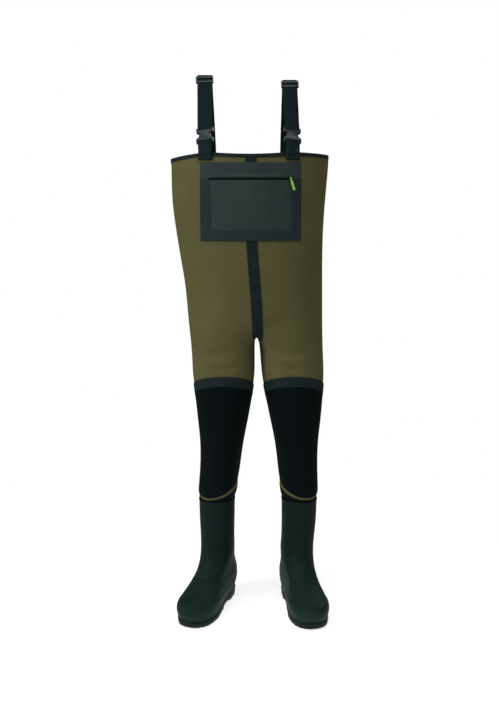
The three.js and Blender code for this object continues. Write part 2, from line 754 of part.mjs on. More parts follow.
// Closes a ring that starts beside the toe with strips from side to side.
function capStrips(skin, ring, facingUp) {
  const last = ring.length - 1;
  for (let step = 0; step < ring.length / 2 - 1; step += 1) {
    const quad = [ring[step], ring[step + 1], ring[last - step - 1], ring[last - step]];
    if (!facingUp) quad.reverse();
    skin.faces.push([quad[0], quad[1], quad[2]], [quad[0], quad[2], quad[3]]);
  }
}

function plate(leg, rings) {
  const skin = new Skin();
  const mirrored = leg.side < 0;
  const indices = rings.map((ring) => skin.add(ring));
  for (let row = 1; row < indices.length; row += 1) {
    skin.band(indices[row - 1], indices[row], mirrored);
  }
  capStrips(skin, indices[0], !mirrored);
  capStrips(skin, indices[indices.length - 1], mirrored);
  return solidOf(skin.points, skin.faces);
}

function soleRing(leg, centre, grow, heightAt) {
  const points = [];
  for (let step = 0; step < legSteps; step += 1) {
    const spot = outlinePoint(featherRow, (step + 0.5) * 2 * Math.PI / legSteps, grow);
    points.push(besideLeg(leg, centre, splayOf(leg), spot.x, spot.y, heightAt(spot.x)));
  }
  return points;
}

// A block under the sole in the boot's own directions, turned about the vertical by some angle.
function underfoot(leg, centre, ahead, out, along, across, turn, lift) {
  const block = new THREE.BoxGeometry(across, along, lift * 2);
  block.rotateZ(-leg.side * turn);
  block.translate(leg.side * out, -ahead, 0);
  block.rotateZ(leg.side * splayOf(leg));
  return solidFrom(block.translate(centre.x - leg.side * leg.footIn, centre.y, 0));
}

const lugTurn = THREE.MathUtils.degToRad(24);
for (const leg of legs) {
  const mirrored = leg.side < 0;
  const centre = legCentre(leg, 1);

  const upper = new Skin();
  const collar = shaftRows.map((row) => {
    const halfWidth = shaftWidth / 2 * row.wide;
    const halfDepth = shaftDepth / 2 * row.deep;
    return upper.add(legRing(leg, bootHeight * row.up, halfWidth, halfDepth, 2));
  });
  const lowerRings = [...upperRows].reverse().map((row) => {
    const points = [];
    for (let step = 0; step < legSteps; step += 1) {
      const spot = outlinePoint(row, legAngle(step) + (legAngle(step) < 0 ? 2 * Math.PI : 0), 0);
      const reach = row.front * toeReach + row.back * heelReach;
      const along = (spot.x + row.back * heelReach) / reach;
      const height = bootHeight * THREE.MathUtils.lerp(row.low, row.top, along);
      points.push(besideLeg(leg, centre, splayOf(leg), spot.x, spot.y, height));
    }
    return upper.add(points);
  });
  const feather = [];
  for (let step = 0; step < legSteps; step += 1) {
    const spot = outlinePoint(featherRow, legAngle(step) + (legAngle(step) < 0 ? 2 * Math.PI : 0), 0);
    feather.push(besideLeg(leg, centre, splayOf(leg), spot.x, spot.y, soleTop(spot.x) + gap * 2));
  }
  const rings = [...collar, ...lowerRings, upper.add(feather)];
  for (let row = 1; row < rings.length; row += 1) {
    upper.band(rings[row - 1], rings[row], mirrored);
  }
  upper.rims.push(rings[0], rings[rings.length - 1]);
  place(`boot_upper_${leg.name}`, upper.wall(0, -bootWall), 'rubber');

  const sides = soleEdge.map((edgeRow) => {
    const heightAt = (ahead) => THREE.MathUtils.lerp(soleBottom(ahead), soleTop(ahead), edgeRow.rise);
    return soleRing(leg, centre, soleMargin + randStep * edgeRow.proud, heightAt);
  });
  let sole = plate(leg, sides);
  const arch = underfoot(leg, centre, 0.125 * toeReach, 0, 0.27 * toeReach, ballWidth * 2, 0, archLift);
  sole = sole.subtract(arch);
  const treads = [
    { from: 0.33 * toeReach, count: 7 },
    { from: -0.78 * heelReach, count: 3 },
  ];
  for (const tread of treads) {
    for (let groove = 0; groove < tread.count; groove += 1) {
      const ahead = tread.from + groove * lugPitch;
      for (const hand of [-1, 1]) {
        const out = hand * ballWidth * 0.36;
        const across = ballWidth * 0.62;
        const turn = hand * lugTurn;
        sole = sole.subtract(underfoot(leg, centre, ahead, out, grooveWidth, across, turn, grooveDepth));
      }
    }
  }
  place(`outsole_${leg.name}`, sole, 'sole');

  const insoleRings = [insoleThickness + gap * 2, gap * 2].map((lift) => (
    soleRing(leg, centre, -bootWall - insoleEase, (ahead) => soleTop(ahead) + lift)
  ));
  place(`insole_${leg.name}`, plate(leg, insoleRings), 'tape');
}

// Braces

// Where a strap of some width lies flat against the bib's edge. towards is -1 in front, 1 behind.
function bibSeat(middle, width, towards) {
  const ring = trunkRing(trunkRows[0]).filter((point) => point.y * towards > -1);
  ring.sort((one, two) => one.x - two.x);
  const depthAt = (x) => {
    const next = Math.max(1, ring.findIndex((point) => point.x >= x));
    const share = (x - ring[next - 1].x) / (ring[next].x - ring[next - 1].x);
    return THREE.MathUtils.lerp(ring[next - 1].y, ring[next].y, share);
  };
  const left = new THREE.Vector3(middle - width / 2, depthAt(middle - width / 2), 0);
  const right = new THREE.Vector3(middle + width / 2, depthAt(middle + width / 2), 0);
  const across = right.clone().sub(left).normalize();
  const out = new THREE.Vector3(-across.y, across.x, 0).multiplyScalar(towards);
  let bulge = 0;
  for (let step = 0; step <= 8; step += 1) {
    const x = THREE.MathUtils.lerp(left.x, right.x, step / 8);
    bulge = Math.max(bulge, new THREE.Vector3(x, depthAt(x), 0).sub(left).dot(out));
  }
  const point = left.clone().add(right).multiplyScalar(0.5).addScaledVector(out, bulge);
  return { point, across, out };
}

// A flat strap swept along its middle line. Each step has a point and a direction across.
function strap(path, width, thickness) {
  const skin = new Skin();
  const sections = path.map((step, index) => {
    const before = path[Math.max(index - 1, 0)].point;
    const after = path[Math.min(index + 1, path.length - 1)].point;
    const along = after.clone().sub(before).normalize();
    const out = step.across.clone().cross(along).normalize();
    const across = along.clone().cross(out).normalize();
    const corners = [[-1, -1], [1, -1], [1, 1], [-1, 1]];
    return skin.add(corners.map(([side, face]) => {
      const beside = step.point.clone().addScaledVector(across, side * width / 2);
      return beside.addScaledVector(out, face * thickness / 2);
    }));
  });
  for (let row = 1; row < sections.length; row += 1) skin.band(sections[row - 1], sections[row]);
  const first = sections[0];
  const last = sections[sections.length - 1];
  skin.faces.push([first[0], first[1], first[2]], [first[0], first[2], first[3]]);
  skin.faces.push([last[2], last[1], last[0]], [last[3], last[2], last[0]]);
  return solidOf(skin.points, skin.faces);
}

const wrapRadius = barRadius + gap + braceThickness / 2;
const foldHalf = (braceThickness + gap) / 2;
const barPlace = buckleHeight / 2 - barRadius;
const foldLength = 7;

// The strap's middle line round a buckle's bar, from its tail behind to its run in front, as
// places along the buckle and out from its middle. way is -1 for the lower bar, 1 for the upper.
function barWrap(way) {
  const bar = way * barPlace;
  const away = way * (wrapRadius + foldLength / 2);
  const steps = [
    { along: bar + away + way * foldLength, out: -foldHalf },
    { along: bar + away, out: -foldHalf },
  ];
  for (let turn = 0; turn <= 6; turn += 1) {
    const angle = Math.PI * turn / 6;
    steps.push({ along: bar - way * wrapRadius * Math.sin(angle), out: -wrapRadius * Math.cos(angle) });
  }
  steps.push({ along: bar + away, out: foldHalf });
  return steps;
}

function buckleFrame(frame) {
  const matrix = new THREE.Matrix4().makeBasis(frame.across, frame.out.clone().negate(), frame.along);
  return matrix.setPosition(frame.point);
}

// One end of a buckle, drawn in its own frame: x across, y in, z along. way is -1 for the socket.
function buckleEnd(way) {
  const half = buckleWidth / 2;
  const waist = buckleWidth * 0.36;
  const tail = way * buckleHeight / 2;
  const shoulder = way * buckleHeight * 0.24;
  const neck = way * buckleHeight * 0.14;
  const mouth = way < 0 ? buckleHeight * 0.2 : buckleHeight * 0.2 + gap;
  const outline = new THREE.Shape();
  outline.moveTo(-half, tail);
  outline.lineTo(half, tail);
  outline.lineTo(half, shoulder);
  if (way < 0) outline.lineTo(waist, neck);
  outline.lineTo(way < 0 ? waist : half * 0.9, mouth);
  outline.lineTo(way < 0 ? -waist : -half * 0.9, mouth);
  if (way < 0) outline.lineTo(-waist, neck);
  outline.lineTo(-half, shoulder);
  const body = prismAlongY(outline, -buckleThickness / 2, buckleThickness / 2);
  const slotHalf = Math.max(tabWidth, braceWidth) / 2 + gap;
  const slotEdge = way * (barPlace - wrapRadius - braceThickness / 2 - gap);
  const low = Math.min(slotEdge, way * buckleHeight);
  const high = Math.max(slotEdge, way * buckleHeight);
  const slot = boxSolid(-slotHalf, slotHalf, -buckleThickness, buckleThickness, low, high);
  const bar = new THREE.CylinderGeometry(barRadius, barRadius, half * 2 - 1, 10);
  bar.rotateZ(Math.PI / 2).translate(0, 0, way * barPlace);
  return body.subtract(slot).add(solidFrom(bar));
}

const armInner = buckleWidth * 0.16;
const armOuter = buckleWidth * 0.25;
const armReach = buckleHeight * 0.08;
const pocketHalf = armOuter + 1.2;
const armHalf = buckleThickness * 0.24;

function buckleSocket() {
  const mouth = buckleHeight * 0.2;
  const cave = boxSolid(
    -pocketHalf, pocketHalf, -armHalf - gap, armHalf + gap, -armReach - 2, mouth + 1,
  );
  let socket = buckleEnd(-1).subtract(cave);
  for (const side of [-1, 1]) {
    const near = side * armOuter;
    const far = side * buckleWidth * 0.4;
    const window = boxSolid(
      Math.min(near, far), Math.max(near, far), -buckleThickness, buckleThickness, -armReach, mouth * 0.75,
    );
    socket = socket.subtract(window);
  }
  return socket;
}

function bucklePronged() {
  const root = buckleHeight * 0.2 + gap * 2;
  const spine = boxSolid(-2, 2, -armHalf, armHalf, -armReach + 1, root);
  let prong = buckleEnd(1).add(spine);
  for (const side of [-1, 1]) {
    const arm = [side * armInner, side * armOuter].sort((one, two) => one - two);
    const press = [side * (armOuter - 1), side * buckleWidth * 0.345].sort((one, two) => one - two);
    prong = prong.add(boxSolid(arm[0], arm[1], -armHalf, armHalf, -armReach, root));
    prong = prong.add(boxSolid(press[0], press[1], -armHalf, armHalf, -armReach + gap * 2, root * 0.55));
  }
  return prong;
}

// A flat frame that the strap threads: bars in front at its ends, one bar behind its middle.
function slideAdjuster() {
  const clear = braceThickness / 2 + gap;
  const depth = clear + 2.2;
  const rail = (adjusterWidth - braceWidth) / 2 - gap;
  const half = adjusterHeight / 2;
  const bar = adjusterHeight * 0.16;
  let frame = boxSolid(-adjusterWidth / 2, adjusterWidth / 2, clear, depth, -bar, bar);
  for (const side of [-1, 1]) {
    const outer = side * adjusterWidth / 2;
    const inner = outer - side * rail;
    frame = frame.add(boxSolid(Math.min(outer, inner), Math.max(outer, inner), -depth, depth, -half, half));
    const end = side * half;
    const start = end - side * bar * 1.6;
    const ends = boxSolid(
      -adjusterWidth / 2, adjusterWidth / 2, -depth, -clear, Math.min(start, end), Math.max(start, end),
    );
    frame = frame.add(ends);
  }
  return frame;
}

const strapFace = gap + Math.max(bindingThickness, patchThickness) + gap * 2 + braceThickness / 2;
const edgeClear = gap + bindingThickness + braceThickness * 3;

for (const brace of braces) {
  const crown = bibHeight + braceRise * brace.rise;
  const front = bibSeat(brace.front * chestWidth, tabWidth, -1);
  const back = bibSeat(brace.back * chestWidth, braceWidth, 1);
  front.point.addScaledVector(front.out, strapFace);
  back.point.addScaledVector(back.out, strapFace);
  const topX = brace.top * chestWidth;
  const edgeTop = bibHeight + edgeClear;

  // Straight runs lean in to a round crown. Each is found in the plane of y and z.
  const runTo = (seat, towards) => {
    const hub = new THREE.Vector2(0, crown - shoulderRadius);
    const foot = new THREE.Vector2(Math.abs(seat.point.y), edgeTop);
    const reach = foot.distanceTo(hub);
    const lean = Math.atan2(foot.x, hub.y - foot.y) - Math.asin(shoulderRadius / reach);
    const tangent = new THREE.Vector2(Math.cos(lean), Math.sin(lean));
    tangent.multiplyScalar(shoulderRadius).add(hub);
    return { lean, y: towards * tangent.x, z: tangent.y };
  };
  const frontRun = runTo(front, -1);
  const backRun = runTo(back, 1);
  const frontTop = new THREE.Vector3(topX, frontRun.y, frontRun.z);
  const frontFoot = front.point.clone().setZ(edgeTop);
  const straight = frontTop.clone().sub(frontFoot);
  const along = straight.clone().normalize();
  const share = (bibHeight + buckleRise - edgeTop) / straight.z;
  const acrossAt = (part) => front.across.clone().lerp(new THREE.Vector3(1, 0, 0), part).normalize();
  const buckleAcross = acrossAt(share * 0.5);
  const buckleOut = buckleAcross.clone().cross(along).normalize();
  const frame = {
    point: frontFoot.clone().addScaledVector(straight, share),
    across: along.clone().cross(buckleOut).normalize(),
    out: buckleOut,
    along,
  };
  const inFrame = (step) => {
    const point = frame.point.clone().addScaledVector(frame.along, step.along);
    return { point: point.addScaledVector(frame.out, step.out), across: frame.across };
  };

  const tabSteps = barWrap(-1).reverse().map(inFrame);
  const tabPath = [
    { point: front.point.clone().setZ(bibHeight - tabFoot), across: front.across },
    { point: front.point.clone().setZ(edgeTop), across: front.across },
    ...tabSteps,
  ];
  place(`front_tab_${brace.name}`, strap(tabPath, tabWidth, braceThickness), 'webbing');
  place(`buckle_socket_${brace.name}`, buckleSocket(), 'buckle', buckleFrame(frame));
  place(`buckle_prong_${brace.name}`, bucklePronged(), 'buckle', buckleFrame(frame));

  const path = barWrap(1).map(inFrame);
  const lift = frame.out.clone().multiplyScalar(foldHalf);
  const adjusterHalf = (adjusterHeight / 2 + 1) / straight.length();
  const adjusterShare = 1 - adjusterHalf - 1 / straight.length();
  const adjusterAcross = acrossAt(adjusterShare);
  const liftedAt = (spot) => frontFoot.clone().addScaledVector(straight, spot).add(lift);
  for (const part of [0.4, 0.8]) {
    const spot = THREE.MathUtils.lerp(share, adjusterShare, part);
    path.push({ point: liftedAt(spot), across: acrossAt(spot) });
  }
  for (const spot of [adjusterShare - adjusterHalf, adjusterShare + adjusterHalf, 1]) {
    path.push({ point: liftedAt(spot), across: adjusterAcross });
  }
  const turnSteps = 8;
  const sweepFrom = Math.PI - frontRun.lean;
  const sweepTo = backRun.lean;
  for (let step = 1; step <= turnSteps; step += 1) {
    const angle = THREE.MathUtils.lerp(sweepFrom, sweepTo, step / turnSteps);
    const radius = shoulderRadius + foldHalf;
    const y = Math.cos(angle) * radius;
    const z = crown - shoulderRadius + Math.sin(angle) * radius;
    path.push({ point: new THREE.Vector3(topX, y, z), across: new THREE.Vector3(1, 0, 0) });
  }
  const backTop = path[path.length - 1].point;
  const backEdge = back.point.clone().setZ(edgeTop);
  for (const part of [0.33, 0.66, 1]) {
    const across = new THREE.Vector3(1, 0, 0).lerp(back.across, part).normalize();
    path.push({ point: backTop.clone().lerp(backEdge, part), across });
  }
  path.push({ point: back.point.clone().setZ(bibHeight - backFoot), across: back.across });
  place(`brace_${brace.name}`, strap(path, braceWidth, braceThickness), 'webbing');

  const adjuster = {
    point: liftedAt(adjusterShare),
    along,
    across: adjusterAcross,
  };
  adjuster.out = adjuster.across.clone().cross(along).normalize();
  adjuster.across = along.clone().cross(adjuster.out).normalize();
  place(`slide_adjuster_${brace.name}`, slideAdjuster(), 'buckle', buckleFrame(adjuster));

  const patchTop = bibHeight - bindingDrop - patchDrop;
  const patchMiddle = brace.back * chestWidth;
  const patch = rectangle(
    patchMiddle - patchWidth / 2, patchMiddle + patchWidth / 2, patchTop - patchHeight, patchTop,
  );
  const patchSolid = body.layer(gap, gap + patchThickness).intersect(prismAlongY(patch, 0, chestDepth));
  place(`back_patch_${brace.name}`, patchSolid, 'tape');
}

// Zip slider and pull

function chestSeat(x, height, halfWidth) {
  const up = (height - splitHeight) / trunkRise;
  const next = trunkRows.findIndex((row) => row.up <= up);
  const [above, below] = [trunkRing(trunkRows[next - 1]), trunkRing(trunkRows[next])];
  const share = (up - trunkRows[next].up) / (trunkRows[next - 1].up - trunkRows[next].up);
  const ring = below.map((point, index) => point.clone().lerp(above[index], share));
  const facing = ring.filter((point) => point.y < -chestDepth * 0.2).sort((one, two) => one.x - two.x);
  const depthAt = (place) => {
    const after = facing.findIndex((point) => point.x >= place);
    const part = (place - facing[after - 1].x) / (facing[after].x - facing[after - 1].x);
    return THREE.MathUtils.lerp(facing[after - 1].y, facing[after].y, part);
  };
  const left = new THREE.Vector3(x - halfWidth, depthAt(x - halfWidth), height);
  const right = new THREE.Vector3(x + halfWidth, depthAt(x + halfWidth), height);
  const across = right.clone().sub(left).normalize();
  const point = left.clone().add(right).multiplyScalar(0.5);
  const middle = new THREE.Vector3(x, depthAt(x), height);
  const out = new THREE.Vector3(across.y, -across.x, 0);
  const bulge = Math.max(0, middle.sub(point).dot(out));
  return { point: point.addScaledVector(out, bulge), across, out, along: new THREE.Vector3(0, 0, 1) };
}

const sliderSeat = chestSeat(zipMiddle + zipLength / 2 + sliderLength * 0.6, zipHeight, sliderLength / 2);
const sliderBack = coverFace + frameThickness + gap * 2;
const bridgeOut = sliderBack + sliderThickness + pullThickness * 0.5 + bridgeRadius + gap * 4;
const ringWidth = 3;
const postInner = ringWidth / 2 + gap * 2;
const postWidth = 1.6;

const crownSolid = (() => {
  const outline = new THREE.Shape();
  const half = sliderLength / 2;
  const wide = sliderHeight / 2;
  outline.moveTo(-half, -wide * 0.6);
  outline.lineTo(-half * 0.2, -wide);
  outline.lineTo(half, -wide * 0.8);
  outline.lineTo(half, wide * 0.8);
  outline.lineTo(-half * 0.2, wide);
  outline.lineTo(-half, wide * 0.6);
  let slider = prismAlongY(outline, -sliderBack - sliderThickness, -sliderBack);
  for (const side of [-1, 1]) {
    const near = side * postInner;
    const far = side * (postInner + postWidth);
    const post = boxSolid(
      Math.min(near, far), Math.max(near, far),
      -bridgeOut - bridgeRadius, -sliderBack - sliderThickness / 2,
      -bridgeRadius * 1.1, bridgeRadius * 1.1,
    );
    slider = slider.add(post);
  }
  const bar = new THREE.CylinderGeometry(bridgeRadius, bridgeRadius, (postInner + postWidth) * 2 - 0.4, 10);
  bar.rotateZ(Math.PI / 2).translate(0, -bridgeOut, 0);
  return slider.add(solidFrom(bar));
})();
place('zip_slider', crownSolid, 'slider', buckleFrame(sliderSeat));

const pullSolid = (() => {
  const ringInner = bridgeRadius + gap;
  const ringOuter = ringInner + 1.3;
  const ringShape = new THREE.Shape();
  ringShape.absarc(0, 0, ringOuter, 0, 2 * Math.PI, false);
  const hole = new THREE.Path();
  hole.absarc(0, 0, ringInner, 0, 2 * Math.PI, true);
  ringShape.holes.push(hole);
  const ring = prismAlongX(ringShape, -ringWidth / 2, ringWidth / 2);
  const half = pullWidth / 2;
  const tab = new THREE.Shape();
  tab.moveTo(-half * 0.4, -ringInner - 0.4);
  tab.lineTo(-half * 0.45, -pullLength * 0.2);
  tab.lineTo(-half, -pullLength * 0.34);
  tab.quadraticCurveTo(-half * 0.7, -pullLength * 0.62, -half, -pullLength * 0.9);
  tab.quadraticCurveTo(-half, -pullLength, 0, -pullLength);
  tab.quadraticCurveTo(half, -pullLength, half, -pullLength * 0.9);
  tab.quadraticCurveTo(half * 0.7, -pullLength * 0.62, half, -pullLength * 0.34);
  tab.lineTo(half * 0.45, -pullLength * 0.2);
  tab.lineTo(half * 0.4, -ringInner - 0.4);
  const blade = prismAlongY(tab, -pullThickness / 2, pullThickness / 2);
  return ring.add(blade.rotate([0, -THREE.MathUtils.radToDeg(pullTilt), 0]));
})();
const hinge = sliderSeat.point.clone().addScaledVector(sliderSeat.out, bridgeOut);
const pullSeat = { ...sliderSeat, point: hinge };
place('zip_pull', pullSolid, 'pull', buckleFrame(pullSeat));

// The origin lies on the floor under the middle of the whole garment.
const extent = new THREE.Box3().setFromObject(wader);
const middle = extent.getCenter(new THREE.Vector3());
wader.position.set(-middle.x, -middle.y, -extent.min.z);

export default wader;
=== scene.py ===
import math

import bmesh
import bpy
from mathutils import Matrix, Vector, noise
from mathutils.bvhtree import BVHTree


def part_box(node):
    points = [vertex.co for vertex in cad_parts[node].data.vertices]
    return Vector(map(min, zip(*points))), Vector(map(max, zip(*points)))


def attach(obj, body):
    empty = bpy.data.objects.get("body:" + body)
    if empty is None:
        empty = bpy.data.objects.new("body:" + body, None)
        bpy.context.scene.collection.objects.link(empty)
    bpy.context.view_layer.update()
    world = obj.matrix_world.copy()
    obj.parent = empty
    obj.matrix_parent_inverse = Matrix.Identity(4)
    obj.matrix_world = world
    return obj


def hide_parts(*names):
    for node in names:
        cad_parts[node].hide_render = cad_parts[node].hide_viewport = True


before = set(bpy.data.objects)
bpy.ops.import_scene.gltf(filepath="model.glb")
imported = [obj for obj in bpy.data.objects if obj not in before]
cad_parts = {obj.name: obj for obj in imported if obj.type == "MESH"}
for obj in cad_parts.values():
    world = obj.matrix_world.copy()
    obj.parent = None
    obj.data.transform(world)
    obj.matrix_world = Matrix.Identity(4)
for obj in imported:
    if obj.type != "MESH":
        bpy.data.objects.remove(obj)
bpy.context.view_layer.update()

# The view. The photograph looks at the wader from chest height, two and a half metres in front of
# it and slightly downwards.
VIEW_FROM = (-0.0017, -2.4947, 1.139)
VIEW_DOWN = 8.82
VIEW_LENS = 45.36
camera = bpy.data.objects.new("camera", bpy.data.cameras.new("camera"))
camera.data.sensor_width = 36
camera.data.lens = VIEW_LENS
camera.location = VIEW_FROM
camera.rotation_euler = (math.radians(90 - VIEW_DOWN), 0, 0)
bpy.context.collection.objects.link(camera)
bpy.context.scene.camera = camera
bpy.context.scene.view_settings.view_transform = "Standard"

# The lamps. Soft boxes stand high on the viewer's left, low on the right, overhead and behind, and
# the paper behind the wader is white while the light that comes back from the room is dimmer.
CHEST = Vector((0, 0, 0.9))
ROOM_LIGHT = 0.2
PAPER_LIGHT = 1.0


def soft_box(name, place, width, power):
    """A square lamp that faces the chest."""
    lamp = bpy.data.objects.new(name, bpy.data.lights.new(name, "AREA"))
    lamp.data.size = width
    lamp.data.energy = power
    lamp.location = place
    lamp.rotation_mode = "QUATERNION"
    lamp.rotation_quaternion = (CHEST - Vector(place)).to_track_quat("-Z", "Y")
    lamp.visible_camera = False
    bpy.context.collection.objects.link(lamp)


soft_box("left_box", (-2.7, -1.6, 1.9), 1.4, 60)
soft_box("right_box", (2.4, -2.2, 1.3), 1.8, 11)
soft_box("overhead_box", (-0.2, -1.2, 3.5), 2.2, 34)
soft_box("back_box", (1.6, 2.6, 2.4), 1.6, 22)

world = bpy.data.worlds.new("studio")
bpy.context.scene.world = world
world.use_nodes = True
room = world.node_tree.nodes["Background"]
room.inputs["Color"].default_value = (1, 1, 1, 1)
room.inputs["Strength"].default_value = ROOM_LIGHT
paper = world.node_tree.nodes.new("ShaderNodeBackground")
paper.inputs["Color"].default_value = (1, 1, 1, 1)
paper.inputs["Strength"].default_value = PAPER_LIGHT
seen = world.node_tree.nodes.new("ShaderNodeLightPath")
either = world.node_tree.nodes.new("ShaderNodeMixShader")
world.node_tree.links.new(seen.outputs["Is Camera Ray"], either.inputs[0])
world.node_tree.links.new(room.outputs[0], either.inputs[1])
world.node_tree.links.new(paper.outputs[0], either.inputs[2])
world.node_tree.links.new(either.outputs[0], world.node_tree.nodes["World Output"].inputs["Surface"])


# The floor is a sheet of white paper that fades into the white behind it.
class Value:
    """A socket. An expression on it adds the Math nodes that work it out."""

    def __init__(self, finish, socket):
        self.finish = finish
        self.socket = socket

    def joined(self, operation, one, two):
        return self.finish.node("ShaderNodeMath", {"operation": operation}, {0: one, 1: two})

    def __add__(self, other):
        return self.joined("ADD", self, other)

    def __sub__(self, other):
        return self.joined("SUBTRACT", self, other)

    def __rsub__(self, other):
        return self.joined("SUBTRACT", other, self)

    def __mul__(self, other):
        return self.joined("MULTIPLY", self, other)

    def __gt__(self, other):
        return self.joined("GREATER_THAN", self, other)

    def __abs__(self):
        return self.joined("ABSOLUTE", self, 0)

    def sine(self):
        return self.joined("SINE", self, 0)

    __radd__ = __add__
    __rmul__ = __mul__


class Finish:
    """A material that ends in one Principled shader."""

    def __init__(self, name, **constants):
        self.material = bpy.data.materials.new(name)
        self.material.use_nodes = True
        self.tree = self.material.node_tree
        self.shader = self.tree.nodes["Principled BSDF"]
        for socket, value in constants.items():
            self.shader.inputs[socket.replace("_", " ")].default_value = value

    def node(self, kind, settings, sockets, output=0):
        """One node: its settings are made first, then its sockets get their values or links."""
        added = self.tree.nodes.new(kind)
        for name, value in settings.items():
            setattr(added, name, value)
        for name, value in sockets.items():
            if isinstance(value, Value):
                self.tree.links.new(value.socket, added.inputs[name])
            else:
                added.inputs[name].default_value = value
        return Value(self, added.outputs[output])

    def place(self):
        """Object coordinates."""
        return self.node("ShaderNodeTexCoord", {}, {}, "Object")

    def axes(self, vector):
        """The three numbers of a vector."""
        split = self.node("ShaderNodeSeparateXYZ", {}, {0: vector}).socket.node
        return [Value(self, output) for output in split.outputs]

    def cloud(self, scale, detail=3.0):
        """Soft noise between 0 and 1, with that many blotches to a metre."""
        sockets = {"Vector": self.place(), "Scale": scale, "Detail": detail}
        return self.node("ShaderNodeTexNoise", {}, sockets)

    def blend(self, share, one, two):
        """A colour between two colours."""
        kind = {"data_type": "RGBA", "clamp_factor": True}
        return self.node("ShaderNodeMix", kind, {0: share, 6: one, 7: two}, 2)

    def relief(self, height, distance, strength=1.0, under=None):
        """A bump of that many metres, over another bump where one is given."""
        sockets = {"Height": height, "Distance": distance, "Strength": strength}
        if under is not None:
            sockets["Normal"] = under
        return self.node("ShaderNodeBump", {}, sockets)

    def feed(self, **sockets):
        for socket, value in sockets.items():
            self.tree.links.new(value.socket, self.shader.inputs[socket.replace("_", " ")])


def shade(red, green, blue):
    """A colour as the photograph's own numbers from 0 to 255 say it."""
    parts = [part / 255 for part in (red, green, blue)]
    return (*[part / 12.92 if part < 0.04 else ((part + 0.055) / 1.055) ** 2.4 for part in parts], 1)


FLOOR_HALF = 1.6
FLOOR_GLOW = 0.62
FADE_START = 0.45
FADE_END = 1.3
floor_paper = Finish(
    "floor_paper", Roughness=0.9, Emission_Color=(1, 1, 1, 1), Emission_Strength=FLOOR_GLOW
)
ground = floor_paper.node("ShaderNodeVectorMath", {"operation": "LENGTH"}, {0: floor_paper.place()}, 1)
floor_paper.feed(
    Base_Color=floor_paper.blend(floor_paper.cloud(3), shade(240, 240, 240), shade(246, 246, 246)),
    Alpha=floor_paper.node("ShaderNodeMapRange", {"interpolation_type": "SMOOTHSTEP"}, {
        "Value": ground, "From Min": FADE_START, "From Max": FADE_END, "To Min": 1, "To Max": 0,
    }),
)
floor_mesh = bmesh.new()
bmesh.ops.create_grid(floor_mesh, x_segments=4, y_segments=4, size=FLOOR_HALF)
floor_data = bpy.data.meshes.new("floor")
floor_mesh.to_mesh(floor_data)
floor_mesh.free()
floor_data.materials.append(floor_paper.material)
floor = bpy.data.objects.new("floor", floor_data)
bpy.context.collection.objects.link(floor)

# The suit: trunk and legs of 4 mm neoprene foam, with an olive knitted jersey on both faces. The
# imported solid's outer skin is made smooth, given its folds, and gets its wall back.
SUIT_WALL = 0.004
SUIT_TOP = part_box("neoprene_body")[1].z
SUIT_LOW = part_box("neoprene_body")[0].z
EDGE_SAG = 0.016
RIM_NEAR = 0.0002
MERGE = 0.00002
SWELLS = 7
SWELL_RISE = 0.0012


def merged(node):
    """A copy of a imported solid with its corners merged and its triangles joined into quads."""
    mesh = bmesh.new()
    mesh.from_mesh(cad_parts[node].data)
    bmesh.ops.remove_doubles(mesh, verts=mesh.verts, dist=MERGE)
    bmesh.ops.join_triangles(
        mesh,
        faces=mesh.faces,
        angle_face_threshold=math.radians(40),
        angle_shape_threshold=math.radians(70),
    )
    return mesh


def outer_skin(mesh, at_rim):
    """Leaves the outer one of a hollow solid's two walls. at_rim picks the faces between them."""
    bmesh.ops.delete(mesh, geom=[face for face in mesh.faces if at_rim(face)], context="FACES")
    left = set(mesh.faces)
    walls = []
    while left:
        wall = {left.pop()}
        edge_of_wall = list(wall)
        while edge_of_wall:
            face = edge_of_wall.pop()
            beside = {other for edge in face.edges for other in edge.link_faces} & left
            left -= beside
            wall |= beside
            edge_of_wall.extend(beside)
        walls.append(wall)
    walls.sort(key=lambda wall: sum(face.calc_area() for face in wall))
    bmesh.ops.delete(mesh, geom=[face for wall in walls[:-1] for face in wall], context="FACES")
    return mesh


def crease(mesh, angle):
    """Marks the edges that turn by more than an angle, so that subdivision keeps them."""
    marks = mesh.edges.layers.float.new("crease_edge")
    for edge in mesh.edges:
        if len(edge.link_faces) == 2 and edge.calc_face_angle(0) > math.radians(angle):
            edge[marks] = 1
    return mesh


def smoothed(mesh, levels):
    """The mesh after that many rounds of Catmull-Clark subdivision."""
    data = bpy.data.meshes.new("blank")
    mesh.to_mesh(data)
    mesh.free()
    blank = bpy.data.objects.new("blank", data)
    bpy.context.collection.objects.link(blank)
    rounds = blank.modifiers.new("rounds", "SUBSURF")
    rounds.levels = levels
    rounds.render_levels = levels
    finer = bmesh.new()
    finer.from_object(blank, bpy.context.evaluated_depsgraph_get())
    bpy.data.objects.remove(blank)
    return finer


def made(name, mesh, finish, sharp=45):
    """An object of the mesh, smooth but for edges that turn by more than the sharp angle."""
    data = bpy.data.meshes.new(name)
    mesh.to_mesh(data)
    mesh.free()
    data.shade_smooth()
    data.set_sharp_from_angle(angle=math.radians(sharp))
    data.materials.append(finish.material)
    piece = bpy.data.objects.new(name, data)
    bpy.context.collection.objects.link(piece)
    return piece


def thickened(piece, thickness, rounding=0.0):
    """Gives a skin its wall inwards, and rounds the wall's edges."""
    wall = piece.modifiers.new("wall", "SOLIDIFY")
    wall.thickness = thickness
    wall.offset = -1
    if rounding:
        edges = piece.modifiers.new("edges", "BEVEL")
        edges.width = rounding
        edges.segments = 2
        edges.limit_method = "ANGLE"
        edges.angle_limit = math.radians(50)


